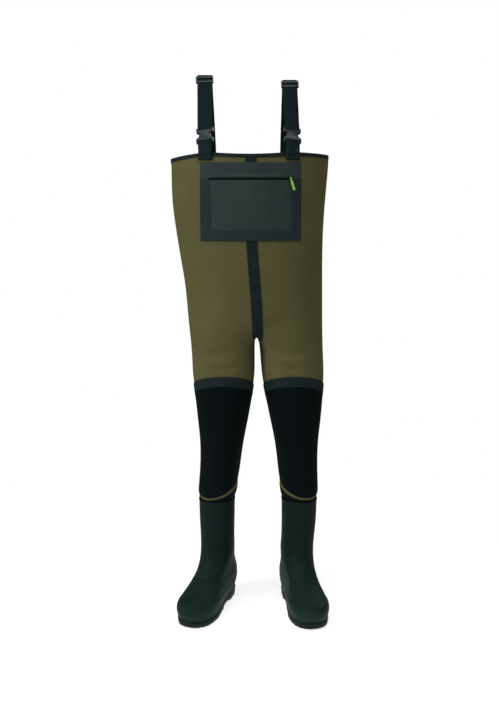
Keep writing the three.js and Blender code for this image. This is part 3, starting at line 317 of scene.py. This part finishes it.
def knit(finish, wale, course):
    """Height of knitted cloth: stitches wale apart across and course apart along, in metres."""
    x, y, z = finish.axes(finish.place())
    facing = finish.axes(finish.node("ShaderNodeTexCoord", {}, {}, "Normal"))
    sideways = abs(facing[0]) > abs(facing[1])
    across = x * (1 - sideways) + y * sideways
    rows = (z * (2 * math.pi / course)).sine()
    columns = (across * (2 * math.pi / wale) + rows * 0.7).sine()
    return columns * 0.5 + rows * 0.5


def cloth(name, dark, light, wale, course, depth, **constants):
    """A knitted or woven finish in two shades of one colour."""
    finish = Finish(name, Specular_IOR_Level=0.04, **constants)
    worn = finish.cloud(9, 4)
    speck = finish.cloud(900, 2)
    stitches = knit(finish, wale, course)
    share = worn * 0.55 + speck * 0.35 + stitches * 0.12
    finish.feed(
        Base_Color=finish.blend(share, dark, light),
        Normal=finish.relief(stitches, depth, 0.5, finish.relief(speck, depth, 0.35)),
    )
    return finish


jersey = cloth(
    "olive_jersey", shade(82, 79, 48), shade(108, 104, 70), 0.0011, 0.0009, 0.00025, Roughness=0.95
)

suit_mesh = outer_skin(
    merged("neoprene_body"),
    lambda face: min(vert.co.z for vert in face.verts) > SUIT_TOP - EDGE_SAG
    or max(vert.co.z for vert in face.verts) < SUIT_LOW + RIM_NEAR,
)
suit_mesh = smoothed(suit_mesh, 3)

# Folds pressed into the suit, listed one by one: the middle, the run from end to end, half the width and
# the depth, which is below nought for a ridge. A fold goes on past its run's ends and fades out there.
FOLD_REACH = 1.6
FOLD_FADE = 0.9
DEPTH_COUNTS = 0.3
suit_folds = [
    {"middle": (0.112, -0.05, 0.766), "run": (0.13, 0, -0.012), "width": 0.011, "depth": 0.0055},
    {"middle": (0.120, -0.05, 0.741), "run": (0.11, 0, 0.006), "width": 0.014, "depth": -0.0035},
    {"middle": (0.098, -0.05, 0.722), "run": (0.08, 0, -0.010), "width": 0.009, "depth": 0.0030},
    {"middle": (-0.098, -0.05, 0.762), "run": (0.12, 0, 0.016), "width": 0.011, "depth": 0.0045},
    {"middle": (-0.090, -0.05, 0.738), "run": (0.10, 0, -0.008), "width": 0.013, "depth": -0.0030},
    {"middle": (-0.070, -0.05, 0.720), "run": (0.07, 0, 0.010), "width": 0.009, "depth": 0.0028},
    {"middle": (0.062, -0.06, 0.842), "run": (0.08, 0, 0.040), "width": 0.013, "depth": 0.0030},
    {"middle": (-0.030, -0.06, 0.846), "run": (0.08, 0, -0.044), "width": 0.013, "depth": 0.0030},
    {"middle": (-0.125, -0.03, 0.985), "run": (0.10, 0, 0.030), "width": 0.018, "depth": 0.0022},
    {"middle": (0.145, -0.03, 1.005), "run": (0.09, 0, -0.026), "width": 0.018, "depth": 0.0022},
    {"middle": (-0.095, 0.12, 0.770), "run": (0.12, 0, 0.010), "width": 0.013, "depth": 0.0050},
    {"middle": (0.130, 0.12, 0.765), "run": (0.12, 0, -0.012), "width": 0.013, "depth": 0.0050},
    {"middle": (-0.100, 0.11, 0.560), "run": (0.10, 0, -0.010), "width": 0.012, "depth": 0.0050},
    {"middle": (0.140, 0.11, 0.555), "run": (0.10, 0, 0.012), "width": 0.012, "depth": 0.0050},
    {"middle": (-0.100, 0.11, 0.590), "run": (0.09, 0, 0.014), "width": 0.010, "depth": 0.0040},
    {"middle": (0.138, 0.11, 0.588), "run": (0.09, 0, -0.008), "width": 0.010, "depth": 0.0040},
    {"middle": (0.010, 0.16, 0.905), "run": (0.16, 0, 0.008), "width": 0.016, "depth": 0.0040},
    {"middle": (-0.105, -0.03, 0.405), "run": (0.09, 0, 0.008), "width": 0.009, "depth": 0.0022},
    {"middle": (0.138, -0.03, 0.400), "run": (0.09, 0, -0.008), "width": 0.009, "depth": 0.0022},
]


def fold_depth(spot, folds):
    """How far the folds press in at a place, each fading over its width and towards its ends."""
    depth = 0
    for fold in folds:
        away = spot - Vector(fold["middle"])
        run = Vector(fold["run"])
        along = away.dot(run) / run.length_squared * 2
        beside = away - run * (along / 2)
        beside.y *= DEPTH_COUNTS
        if abs(along) < FOLD_REACH:
            fade = math.exp(-((along / FOLD_FADE) ** 4))
            depth += fold["depth"] * fade * math.exp(-((beside.length / fold["width"]) ** 2))
    return depth


suit_mesh.normal_update()
for vert in suit_mesh.verts:
    swell = noise.noise(vert.co * SWELLS) * SWELL_RISE
    vert.co += vert.normal * (swell - fold_depth(vert.co, suit_folds))
suit_skin = BVHTree.FromBMesh(suit_mesh)
suit = made("neoprene_suit", suit_mesh, jersey)
thickened(suit, SUIT_WALL)
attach(suit, "wader")
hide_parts("neoprene_body")

# The binding: stretch tape folded over the bib's edge.
tape = cloth("stretch_tape", shade(22, 33, 33), shade(38, 51, 51), 0.0008, 0.0008, 0.0002, Roughness=0.8)
binding = made("top_binding_tape", smoothed(crease(merged("top_binding"), 60), 2), tape)
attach(binding, "wader")
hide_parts("top_binding")

# The chest pocket: a panel of coated cloth with a border of tape on three sides and a zip with a
# folded lip across its upper part.
pocket_low, pocket_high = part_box("pocket_panel")
border_low, border_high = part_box("pocket_frame")
lip_low, lip_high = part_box("zip_tape")
POCKET_BORDER = 0.027
BORDER_RISE = 0.0031
LAYER = 0.0003
INSIDE_CHEST = 0.04


def draped(columns, rows, aim, rise):
    """A grid laid on the suit. aim gives a ray for each place on it, rise its height over the suit."""
    mesh = bmesh.new()
    bmesh.ops.create_grid(mesh, x_segments=columns, y_segments=rows, size=0.5)
    for vert in mesh.verts:
        u, v = vert.co.x + 0.5, vert.co.y + 0.5
        origin, direction = aim(u, v)
        spot, normal, _, _ = suit_skin.ray_cast(origin, direction)
        vert.co = spot + normal * rise(u, v)
    return mesh


def on_chest(left, right, bottom, top):
    """Rays at a rectangle on the bib's front."""
    def aim(u, v):
        place = Vector((left + (right - left) * u, INSIDE_CHEST, bottom + (top - bottom) * v))
        return place, Vector((0, -1, 0))
    return aim


coated = cloth(
    "coated_cloth", shade(40, 52, 52), shade(60, 73, 71), 0.0007, 0.0007, 0.00015, Roughness=0.62
)
PANEL_RISE = 0.0015
PANEL_SLACK = 0.0011


def pocket_wave(u, v):
    """The cloth lies a little slack between its seams."""
    inside = (16 * u * (1 - u) * v * (1 - v)) ** 0.5
    slack = noise.noise(Vector((u * 5, v * 3.2, 2.7))) + 0.5 * noise.noise(Vector((u * 11, v * 4, 7.1)))
    return PANEL_RISE + PANEL_SLACK * inside * (1 + slack)


panel_mesh = draped(
    120, 90, on_chest(pocket_low.x, pocket_high.x, pocket_low.z, pocket_high.z), pocket_wave
)
panel = made("pocket_cloth", panel_mesh, coated)
thickened(panel, 0.0012, 0.0004)
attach(panel, "wader")
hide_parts("pocket_panel")

border_strips = {
    "left": {
        "place": (pocket_low.x, pocket_low.x + POCKET_BORDER, border_low.z, border_high.z),
        "columns": 8, "rows": 60, "rise": BORDER_RISE,
    },
    "right": {
        "place": (pocket_high.x - POCKET_BORDER, pocket_high.x, border_low.z, border_high.z),
        "columns": 8, "rows": 60, "rise": BORDER_RISE,
    },
    "foot": {
        "place": (pocket_low.x, pocket_high.x, pocket_low.z, pocket_low.z + POCKET_BORDER),
        "columns": 90, "rows": 8, "rise": BORDER_RISE + 0.0001,
    },
}
edging = cloth(
    "pocket_edging", shade(35, 46, 46), shade(49, 61, 61), 0.0008, 0.0008, 0.0002, Roughness=0.75
)
for name, row in border_strips.items():
    mesh = draped(row["columns"], row["rows"], on_chest(*row["place"]), lambda u, v: row["rise"])
    strip = made(f"pocket_border_{name}", mesh, edging)
    thickened(strip, 0.0009, 0.0003)
    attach(strip, "wader")
    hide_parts("pocket_frame")

LIP_FOOT = 0.0024
LIP_ROLL = 0.0029
LIP_WAVE = 0.0004


def lip_rise(u, v):
    """The zip's lip is a soft roll over the slit, which thins out above it."""
    ends = min(1, 12 * u * (1 - u))
    wave = LIP_WAVE * noise.noise(Vector((u * 14, v * 2, 4.4)))
    return LIP_FOOT + (LIP_ROLL * math.sin(math.pi * min(1, v * 1.1)) ** 0.6 + wave) * ends


lip = made(
    "zip_lip",
    draped(70, 10, on_chest(lip_low.x, lip_high.x, lip_low.z, lip_high.z), lip_rise),
    coated,
)
thickened(lip, 0.0006, 0.0002)
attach(lip, "wader")
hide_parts("zip_tape")

# The zip: a narrow black tape under the lip, with a row of teeth along its middle.
ZIP_TAPE = 0.0042
ZIP_RISE = 0.0032
ZIP_UNDER_LIP = 0.001
TOOTH_PITCH = 0.0021
TOOTH_WIDTH = 0.00099
TOOTH_DEPTH = 0.00088
TOOTH_LENGTH = 0.00209
TOOTH_STAGGER = 0.0006
TOOTH_RISE = 0.0035
zip_black = cloth("zip_black", shade(5, 8, 9), shade(13, 18, 19), 0.0006, 0.0006, 0.0001, Roughness=0.8)
zip_rays = on_chest(lip_low.x, lip_high.x, lip_low.z - ZIP_TAPE, lip_low.z + ZIP_UNDER_LIP)
zip_strip = made("zip_strip", draped(70, 4, zip_rays, lambda u, v: ZIP_RISE), zip_black)
thickened(zip_strip, 0.0005)
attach(zip_strip, "wader")
teeth_mesh = bmesh.new()
tooth_count = int((lip_high.x - lip_low.x) / TOOTH_PITCH)
for tooth in range(tooth_count):
    place = lip_low.x + (tooth + 0.5) * TOOTH_PITCH
    height = lip_low.z - ZIP_TAPE * 0.45 + (TOOTH_STAGGER if tooth % 2 else -TOOTH_STAGGER)
    spot, normal, _, _ = suit_skin.ray_cast(Vector((place, INSIDE_CHEST, height)), Vector((0, -1, 0)))
    block = bmesh.ops.create_cube(teeth_mesh, size=1)["verts"]
    bmesh.ops.scale(teeth_mesh, verts=block, vec=(TOOTH_WIDTH, TOOTH_DEPTH, TOOTH_LENGTH))
    bmesh.ops.translate(teeth_mesh, verts=block, vec=spot + normal * TOOTH_RISE)
teeth = made("zip_teeth", teeth_mesh, zip_black, 30)
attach(teeth, "wader")

# The seam tape: one strip of stretch tape from the bib's edge, under the pocket, down the front
# middle, through the crotch and up the back.
CROTCH_TOP = 0.862
CROTCH_LOW = 0.800
CROTCH_PLACE = 0.0194
CROTCH_DEPTH = 0.06
BIB_PLACE = 0.0004
LEAN_END = 0.7
TAPE_HALF = 0.015
TAPE_NARROW = 0.25
TAPE_WIDENS = 1.7
TAPE_THICK = 0.0008
BINDING_FOOT = SUIT_TOP - 0.0125
SEAM_END = 0.0005
TRUNK_MIDDLE = 0.035


def tape_middle(height):
    """The tape runs from the bib's middle over to the crotch, which hangs to the wearer's left."""
    share = min(1, max(0, (height - CROTCH_LOW) / (SUIT_TOP - CROTCH_LOW)) / LEAN_END)
    return CROTCH_PLACE * (1 - share * share * (3 - 2 * share)) + BIB_PLACE


def seam_ray(along, beside):
    """A ray at the front seam for along below -1, at the crotch from -1 to 1 and at the back above."""
    if abs(along) > 1:
        height = CROTCH_TOP + (abs(along) - 1)
        half = TAPE_HALF
        direction = Vector((0, math.copysign(1, along), 0))
    else:
        height = CROTCH_TOP
        widened = min(1, abs(along) * TAPE_WIDENS) ** 2
        half = TAPE_HALF * (TAPE_NARROW + (1 - TAPE_NARROW) * widened)
        turn = along * math.pi / 2
        direction = Vector((0, math.sin(turn), -math.cos(turn)))
    low = height if abs(along) > 1 else CROTCH_TOP - CROTCH_DEPTH * math.cos(along * math.pi / 2)
    origin = Vector((tape_middle(low) + beside * half, TRUNK_MIDDLE, height))
    return origin, direction


tape_runs = {
    "front": (-1 - (pocket_low.z - SEAM_END - CROTCH_TOP), 1 + (BINDING_FOOT - CROTCH_TOP), 150),
    "top": (-1 - (BINDING_FOOT - CROTCH_TOP), -1 - (pocket_high.z + SEAM_END - CROTCH_TOP), 4),
}
for name, (start, end, steps) in tape_runs.items():
    mesh = draped(
        6,
        steps,
        lambda u, v: seam_ray(start + (end - start) * v, 1 - 2 * u),
        lambda u, v: LAYER + TAPE_THICK,
    )
    strip = made(f"seam_tape_{name}", mesh, tape)
    thickened(strip, TAPE_THICK, 0.0003)
    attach(strip, "wader")
    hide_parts("centre_tape" if name == "front" else "tape_top")

# The knee panels: a tough cloth glued round each shin from above the knee to the boot, with a band
# of stretch tape along its arched crown. The panel turns outwards with the leg on its way down, and
# a near-black cuff of tape seals the neoprene over the boot's collar, low outside and high inside,
# where its dark colour also stands in as painted shade for the shadow under the neoprene's bulge.
KNEE_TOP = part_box("knee_band_right")[1].z
KNEE_LOW = 0.331
KNEE_BAND = 0.028
SHIN_RISE = 0.0018
CROWN_RISE = 0.0023
KNEE_WRAP = math.radians(122)
KNEE_CORNER = math.radians(96)
KNEE_ARCH = 0.043
KNEE_FOOT_ARCH = 0.034
KNEE_CORNER_DROP = 0.03
KNEE_CORNER_RISE = 0.05
KNEE_TWIST = math.radians(32)
TWIST_TOP = 0.64
CUFF_AND_SHADE_LOW = 0.323
CUFF_AND_SHADE_HIGH = 0.366
CUFF_AND_SHADE_TURN = math.radians(40)
LEG_TOP = 0.800
LEG_LOW = 0.318
SIDE = {"right": -1, "left": 1}

# Each leg's axis: its place across the garment at the hip, and how much further out it runs at the
# knee and at the ankle. SHIFT says where these places' zero lies in the part's frame.
SHIFT = Vector((-0.00175, 0.04131, 0))
hips = {"right": -0.078, "left": 0.116}
knees_out = {"right": 0, "left": 0.015}
ankles_out = {"right": 0.019, "left": 0.029}
LEG_DEPTHS = (0.004, -0.008, 0.005)


def bent(values, share):
    """A smooth line through three values, from 0 at the first to 1 at the last."""
    first, middle, last = values
    bend = 2 * middle - (first + last) / 2
    return first * (1 - share) ** 2 + 2 * bend * share * (1 - share) + last * share**2


def leg_axis(name, height):
    """The middle of a leg, from the crotch down to the boot's collar."""
    share = min(1, max(0, (LEG_TOP - height) / (LEG_TOP - LEG_LOW)))
    line = [hips[name] + SIDE[name] * out for out in (0, knees_out[name], ankles_out[name])]
    return Vector((bent(line, share), bent(LEG_DEPTHS, share), height)) + SHIFT


def knee_edges(turn):
    """The panel's lower and upper edge at an angle from its middle."""
    arch = 1 - math.cos(turn)
    corner = max(0, (abs(turn) - KNEE_CORNER) / (KNEE_WRAP - KNEE_CORNER)) ** 2
    lower = KNEE_LOW + KNEE_FOOT_ARCH * arch + KNEE_CORNER_RISE * corner
    upper = KNEE_TOP - KNEE_ARCH * arch - KNEE_CORNER_DROP * corner
    return lower, upper


def round_leg(name, low, high, wrap, twist):
    """Rays out of a leg, between two heights that depend on the angle from the piece's middle."""
    def aim(u, v):
        turn = (2 * u - 1) * wrap
        height = low(turn) + (high(turn) - low(turn)) * v
        facing = turn + SIDE[name] * twist(height)
        return leg_axis(name, height), Vector((math.sin(facing), -math.cos(facing), 0))
    return aim


def knee_twist(height):
    """How far the panel has turned outwards at a height."""
    share = min(1, max(0, (TWIST_TOP - height) / (TWIST_TOP - LEG_LOW)))
    return KNEE_TWIST * share * share * (3 - 2 * share)


knee_cloth = cloth(
    "knee_cloth", shade(3, 10, 11), shade(11, 20, 22), 0.0010, 0.0010, 0.0002, Roughness=0.72
)
for name in SIDE:
    shin_rays = round_leg(
        name,
        lambda turn: knee_edges(turn)[0],
        lambda turn: knee_edges(turn)[1] - KNEE_BAND - LAYER,
        KNEE_WRAP,
        knee_twist,
    )
    shin_mesh = draped(96, 110, shin_rays, lambda u, v: SHIN_RISE)
    shin = made(f"knee_panel_{name}_cloth", shin_mesh, knee_cloth)
    thickened(shin, 0.0015, 0.0004)
    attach(shin, "wader")
    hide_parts(f"knee_panel_{name}")
    crown_rays = round_leg(
        name,
        lambda turn: knee_edges(turn)[1] - KNEE_BAND,
        lambda turn: knee_edges(turn)[1],
        KNEE_WRAP,
        knee_twist,
    )
    crown_mesh = draped(96, 8, crown_rays, lambda u, v: CROWN_RISE)
    crown = made(f"knee_band_{name}_tape", crown_mesh, tape)
    thickened(crown, 0.002, 0.0004)
    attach(crown, "wader")
    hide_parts(f"knee_band_{name}")
    # The cuff: a tape band of near-black cloth, drawn tallest on the inner side, where it paints the
    # shade under the neoprene's bulge over the boot's collar.
    cuff_and_shade_rays = round_leg(
        name,
        lambda turn: LEG_LOW + LAYER,
        lambda turn: CUFF_AND_SHADE_LOW + (CUFF_AND_SHADE_HIGH - CUFF_AND_SHADE_LOW) * (1 - math.cos(turn)) / 2,
        math.pi,
        lambda height: CUFF_AND_SHADE_TURN,
    )
    cuff_and_shade_mesh = draped(96, 10, cuff_and_shade_rays, lambda u, v: LAYER + TAPE_THICK)
    bmesh.ops.remove_doubles(cuff_and_shade_mesh, verts=cuff_and_shade_mesh.verts, dist=MERGE)
    cuff_and_shade = made(f"cuff_tape_{name}_band", cuff_and_shade_mesh, knee_cloth)
    thickened(cuff_and_shade, TAPE_THICK, 0.0003)
    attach(cuff_and_shade, "wader")
    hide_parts(f"cuff_tape_{name}")

# The boots: moulded rubber in one piece, soft to the ankle. A bead runs round the collar, a step
# shows where the foxing overlaps the upper, and short ribs cross the ankle's front and the instep.
BOOT_WALL = 0.003
RISING_SHARE = 0.35
BEAD_HEIGHT = 0.007
BEAD_RISE = 0.0009
FOXING_TOP = 0.052
FOXING_RISE = 0.0012
TOE_CAP = {"rise": 0.012, "from": 0.10, "over": 0.08}
HEEL_CAP = {"rise": 0.016, "from": 0.02, "over": 0.05}
STEP_WIDTH = 0.0022
ANKLE_FRONT = 0.02
RIB_RISE = 0.0016
RIB_HALF = 0.0026
FOOT_TURN = {"right": math.radians(23), "left": math.radians(13)}
FOOT_IN = {"right": 0.002, "left": 0.007}
ankle_ribs = [
    {"height": 0.262, "half_width": 0.017},
    {"height": 0.250, "half_width": 0.019},
    {"height": 0.238, "half_width": 0.021},
    {"height": 0.120, "half_width": 0.020},
    {"height": 0.109, "half_width": 0.022},
    {"height": 0.099, "half_width": 0.024},
]

# Painted light and shade: the one rubber is painted lighter on the foot, as the light that falls on
# the instep, and darker on the shaft, as painted shade, and one goes over into the other above the
# ankle.
FOOT_LIGHT_TOP = 0.07
SHAFT_SHADE_LOW = 0.19
boot_rubber = Finish(
    "boot_rubber", Roughness=0.6, Specular_IOR_Level=0.06, Coat_Weight=0.01, Coat_Roughness=0.45
)
rubber_grain = boot_rubber.cloud(1400, 2)
height_on_boot = boot_rubber.axes(boot_rubber.place())[2]
shade_up_shaft = boot_rubber.node("ShaderNodeMapRange", {"interpolation_type": "SMOOTHSTEP"}, {
    "Value": height_on_boot, "From Min": FOOT_LIGHT_TOP, "From Max": SHAFT_SHADE_LOW,
})
rubber_blotch = boot_rubber.cloud(14, 3)
# Lit and shaded copies of one green: painted light on the foot, painted shade on the shaft.
lit_foot_green = boot_rubber.blend(rubber_blotch, shade(15, 33, 29), shade(28, 51, 44))
shaded_shaft_green = boot_rubber.blend(rubber_blotch, shade(9, 22, 21), shade(19, 36, 34))
boot_rubber.feed(
    Base_Color=boot_rubber.blend(shade_up_shaft, lit_foot_green, shaded_shaft_green),
    Roughness=0.5 + 0.2 * boot_rubber.cloud(30, 3),
    Normal=boot_rubber.relief(rubber_grain, 0.0001, 0.5),
)


def step_up(value, start, width):
    """Goes smoothly from 0 at the start to 1 a width further on."""
    share = min(1, max(0, (value - start) / width))
    return share * share * (3 - 2 * share)


def foot_place(name, spot):
    """How far a spot lies ahead of the shaft's axis and out from it, in the foot's own directions."""
    away = spot - leg_axis(name, LEG_LOW)
    away.x += SIDE[name] * FOOT_IN[name]
    turn = FOOT_TURN[name]
    ahead = SIDE[name] * away.x * math.sin(turn) - away.y * math.cos(turn)
    out = SIDE[name] * away.x * math.cos(turn) + away.y * math.sin(turn)
    return ahead, out


def boot_relief(name, spot):
    """The height of the moulded detail over the boot's plain form."""
    ahead, out = foot_place(name, spot)
    rise = BEAD_RISE * step_up(spot.z, LEG_LOW - BEAD_HEIGHT, 0.0015)
    foxing = FOXING_TOP + TOE_CAP["rise"] * step_up(ahead, TOE_CAP["from"], TOE_CAP["over"])
    foxing += HEEL_CAP["rise"] * step_up(-ahead, HEEL_CAP["from"], HEEL_CAP["over"])
    rise += FOXING_RISE * (1 - step_up(spot.z, foxing, STEP_WIDTH))
    if ahead > ANKLE_FRONT:
        for rib in ankle_ribs:
            beside = abs(out) / rib["half_width"]
            above = (spot.z - rib["height"] + 0.004 * beside * beside) / RIB_HALF
            if beside < 1.2 and abs(above) < 1:
                rise += RIB_RISE * (1 - above * above) * (1 - step_up(beside, 0.85, 0.3))
    return rise


for name in SIDE:
    upper_mesh = outer_skin(
        merged(f"boot_upper_{name}"),
        lambda face: min(edge.calc_length() for edge in face.edges) < BOOT_WALL * 1.3,
    )
    upper_mesh = smoothed(upper_mesh, 3)
    # The edges that rise are halved, so that the ribs and steps have rows enough.
    rising = [
        edge for edge in upper_mesh.edges
        if abs(edge.verts[0].co.z - edge.verts[1].co.z) > RISING_SHARE * edge.calc_length()
    ]
    bmesh.ops.subdivide_edges(upper_mesh, edges=rising, cuts=1)
    upper_mesh.normal_update()
    reliefs = [boot_relief(name, vert.co) for vert in upper_mesh.verts]
    for vert, relief in zip(upper_mesh.verts, reliefs):
        vert.co += vert.normal * relief
    upper = made(f"boot_{name}", upper_mesh, boot_rubber)
    thickened(upper, BOOT_WALL)
    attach(upper, "wader")
    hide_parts(f"boot_upper_{name}")

# The soles: cleated rubber under each boot, and a felt insole inside it.
sole_rubber = Finish("sole_rubber", Roughness=0.65, Specular_IOR_Level=0.1)
sole_grain = sole_rubber.cloud(900, 3)
sole_rubber.feed(
    Base_Color=sole_rubber.blend(sole_rubber.cloud(20, 3), shade(12, 25, 22), shade(22, 38, 33)),
    Normal=sole_rubber.relief(sole_grain, 0.00012, 0.6),
)
felt = cloth("insole_felt", shade(58, 60, 58), shade(78, 80, 76), 0.002, 0.002, 0.0003, Roughness=0.95)
for name in SIDE:
    outsole = made(f"cleated_sole_{name}", merged(f"outsole_{name}"), sole_rubber, 35)
    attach(outsole, "wader")
    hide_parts(f"outsole_{name}")
    insole = made(f"felt_insole_{name}", merged(f"insole_{name}"), felt, 35)
    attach(insole, "wader")
    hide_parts(f"insole_{name}")

# The braces: elastic webbing sewn to the bib, in front as a short tab with a crossed box of stitches
# and behind over a patch that is stitched all round.
webbing = cloth("webbing", shade(16, 27, 29), shade(29, 42, 45), 0.0026, 0.0012, 0.0004, Roughness=0.85)
thread = Finish("thread", Roughness=0.85, Specular_IOR_Level=0.1)
thread.feed(Base_Color=thread.blend(thread.cloud(700, 2), shade(44, 56, 58), shade(68, 80, 82)))
STITCH = 0.0030
STITCH_GAP = 0.0011
THREAD = 0.0009
SEAM_INSET = 0.005
TAB_SEAM = 0.024
RAY_START = 0.2


def stitch_row(mesh, skins, start, end, facing):
    """Stitches along a line, each laid on the first skin that a ray from outside meets."""
    run = end - start
    count = int(run.length / (STITCH + STITCH_GAP))
    for number in range(count):
        outside = start + run * ((number + 0.5) / count) - facing * RAY_START
        hits = [skin.ray_cast(outside, facing) for skin in skins]
        hits = [hit for hit in hits if hit[0] is not None]
        if hits:
            spot, normal, _, _ = min(hits, key=lambda hit: hit[3])
            along = (run - normal * run.dot(normal)).normalized()
            turned = Matrix((along, normal.cross(along), normal)).transposed().to_4x4()
            sized = Matrix.Diagonal((STITCH, THREAD, THREAD, 1))
            bmesh.ops.create_cube(mesh, size=1, matrix=Matrix.Translation(spot) @ turned @ sized)


def stitch_frame(mesh, skins, low, high, facing, crossed):
    """Stitches round a rectangle that faces the front or the back, and across it where crossed."""
    corners = [Vector((x, low.y, z)) for x, z in (
        (low.x, low.z), (high.x, low.z), (high.x, high.z), (low.x, high.z),
    )]
    for start, end in zip(corners, corners[1:] + corners[:1]):
        stitch_row(mesh, skins, start, end, facing)
    if crossed:
        stitch_row(mesh, skins, corners[0], corners[2], facing)
        stitch_row(mesh, skins, corners[1], corners[3], facing)


for name in SIDE:
    skins = []
    for node in (f"front_tab_{name}", f"brace_{name}"):
        strap_mesh = smoothed(crease(merged(node), 60), 2)
        skins.append(BVHTree.FromBMesh(strap_mesh))
        strap = made(f"{node}_webbing", strap_mesh, webbing)
        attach(strap, "wader")
        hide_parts(node)
    patch_mesh = merged(f"back_patch_{name}")
    skins.append(BVHTree.FromBMesh(patch_mesh))
    patch = made(f"back_patch_{name}_tape", patch_mesh, tape)
    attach(patch, "wader")
    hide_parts(f"back_patch_{name}")
    inset = Vector((SEAM_INSET, 0, SEAM_INSET))
    seams = bmesh.new()
    tab_low, tab_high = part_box(f"front_tab_{name}")
    tab_top = Vector((tab_high.x - SEAM_INSET, 0, tab_low.z + SEAM_INSET + TAB_SEAM))
    stitch_frame(seams, skins, tab_low + inset, tab_top, Vector((0, 1, 0)), True)
    patch_low, patch_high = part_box(f"back_patch_{name}")
    stitch_frame(seams, skins, patch_low + inset, patch_high - inset, Vector((0, -1, 0)), False)
    sewing = made(f"stitches_{name}", seams, thread, 30)
    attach(sewing, "wader")

# The buckles and the adjusters: satin moulded plastic with rounded edges.
buckle_plastic = Finish("buckle_plastic", Roughness=0.38, Specular_IOR_Level=0.4)
buckle_plastic.feed(
    Base_Color=buckle_plastic.blend(buckle_plastic.cloud(60, 3), shade(24, 34, 39), shade(36, 47, 53)),
    Normal=buckle_plastic.relief(buckle_plastic.cloud(1800, 2), 0.00006, 0.5),
)


def rounded(node, width):
    """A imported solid's copy with its sharp edges rounded."""
    mesh = bmesh.new()
    mesh.from_mesh(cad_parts[node].data)
    bmesh.ops.remove_doubles(mesh, verts=mesh.verts, dist=MERGE)
    bmesh.ops.dissolve_limit(
        mesh,
        angle_limit=math.radians(2),
        verts=mesh.verts,
        edges=mesh.edges,
        use_dissolve_boundaries=False,
    )
    sharp = [edge for edge in mesh.edges if edge.calc_face_angle(0) > math.radians(35)]
    bmesh.ops.bevel(
        mesh,
        geom=sharp,
        offset=width,
        segments=2,
        profile=0.5,
        affect="EDGES",
        material=-1,
        clamp_overlap=True,
    )
    return mesh


for name in SIDE:
    for node in (f"buckle_socket_{name}", f"buckle_prong_{name}", f"slide_adjuster_{name}"):
        clasp = made(f"{node}_plastic", rounded(node, 0.0005), buckle_plastic, 50)
        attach(clasp, "wader")
        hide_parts(node)

# The zip's slider of black painted metal, and its moulded yellow-green pull.
slider_metal = Finish("slider_metal", Metallic=0.8, Roughness=0.35)
slider_metal.feed(
    Base_Color=slider_metal.blend(slider_metal.cloud(300, 3), shade(30, 34, 34), shade(60, 66, 66))
)
slider = made("zip_slider_metal", rounded("zip_slider", 0.0003), slider_metal, 50)
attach(slider, "wader")
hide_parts("zip_slider")
pull_plastic = Finish("pull_plastic", Roughness=0.42)
pull_plastic.feed(
    Base_Color=pull_plastic.blend(pull_plastic.cloud(200, 3), shade(150, 196, 66), shade(176, 218, 92))
)
pull = made("zip_pull_tab", rounded("zip_pull", 0.0003), pull_plastic, 50)
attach(pull, "zip_pull")
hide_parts("zip_pull")
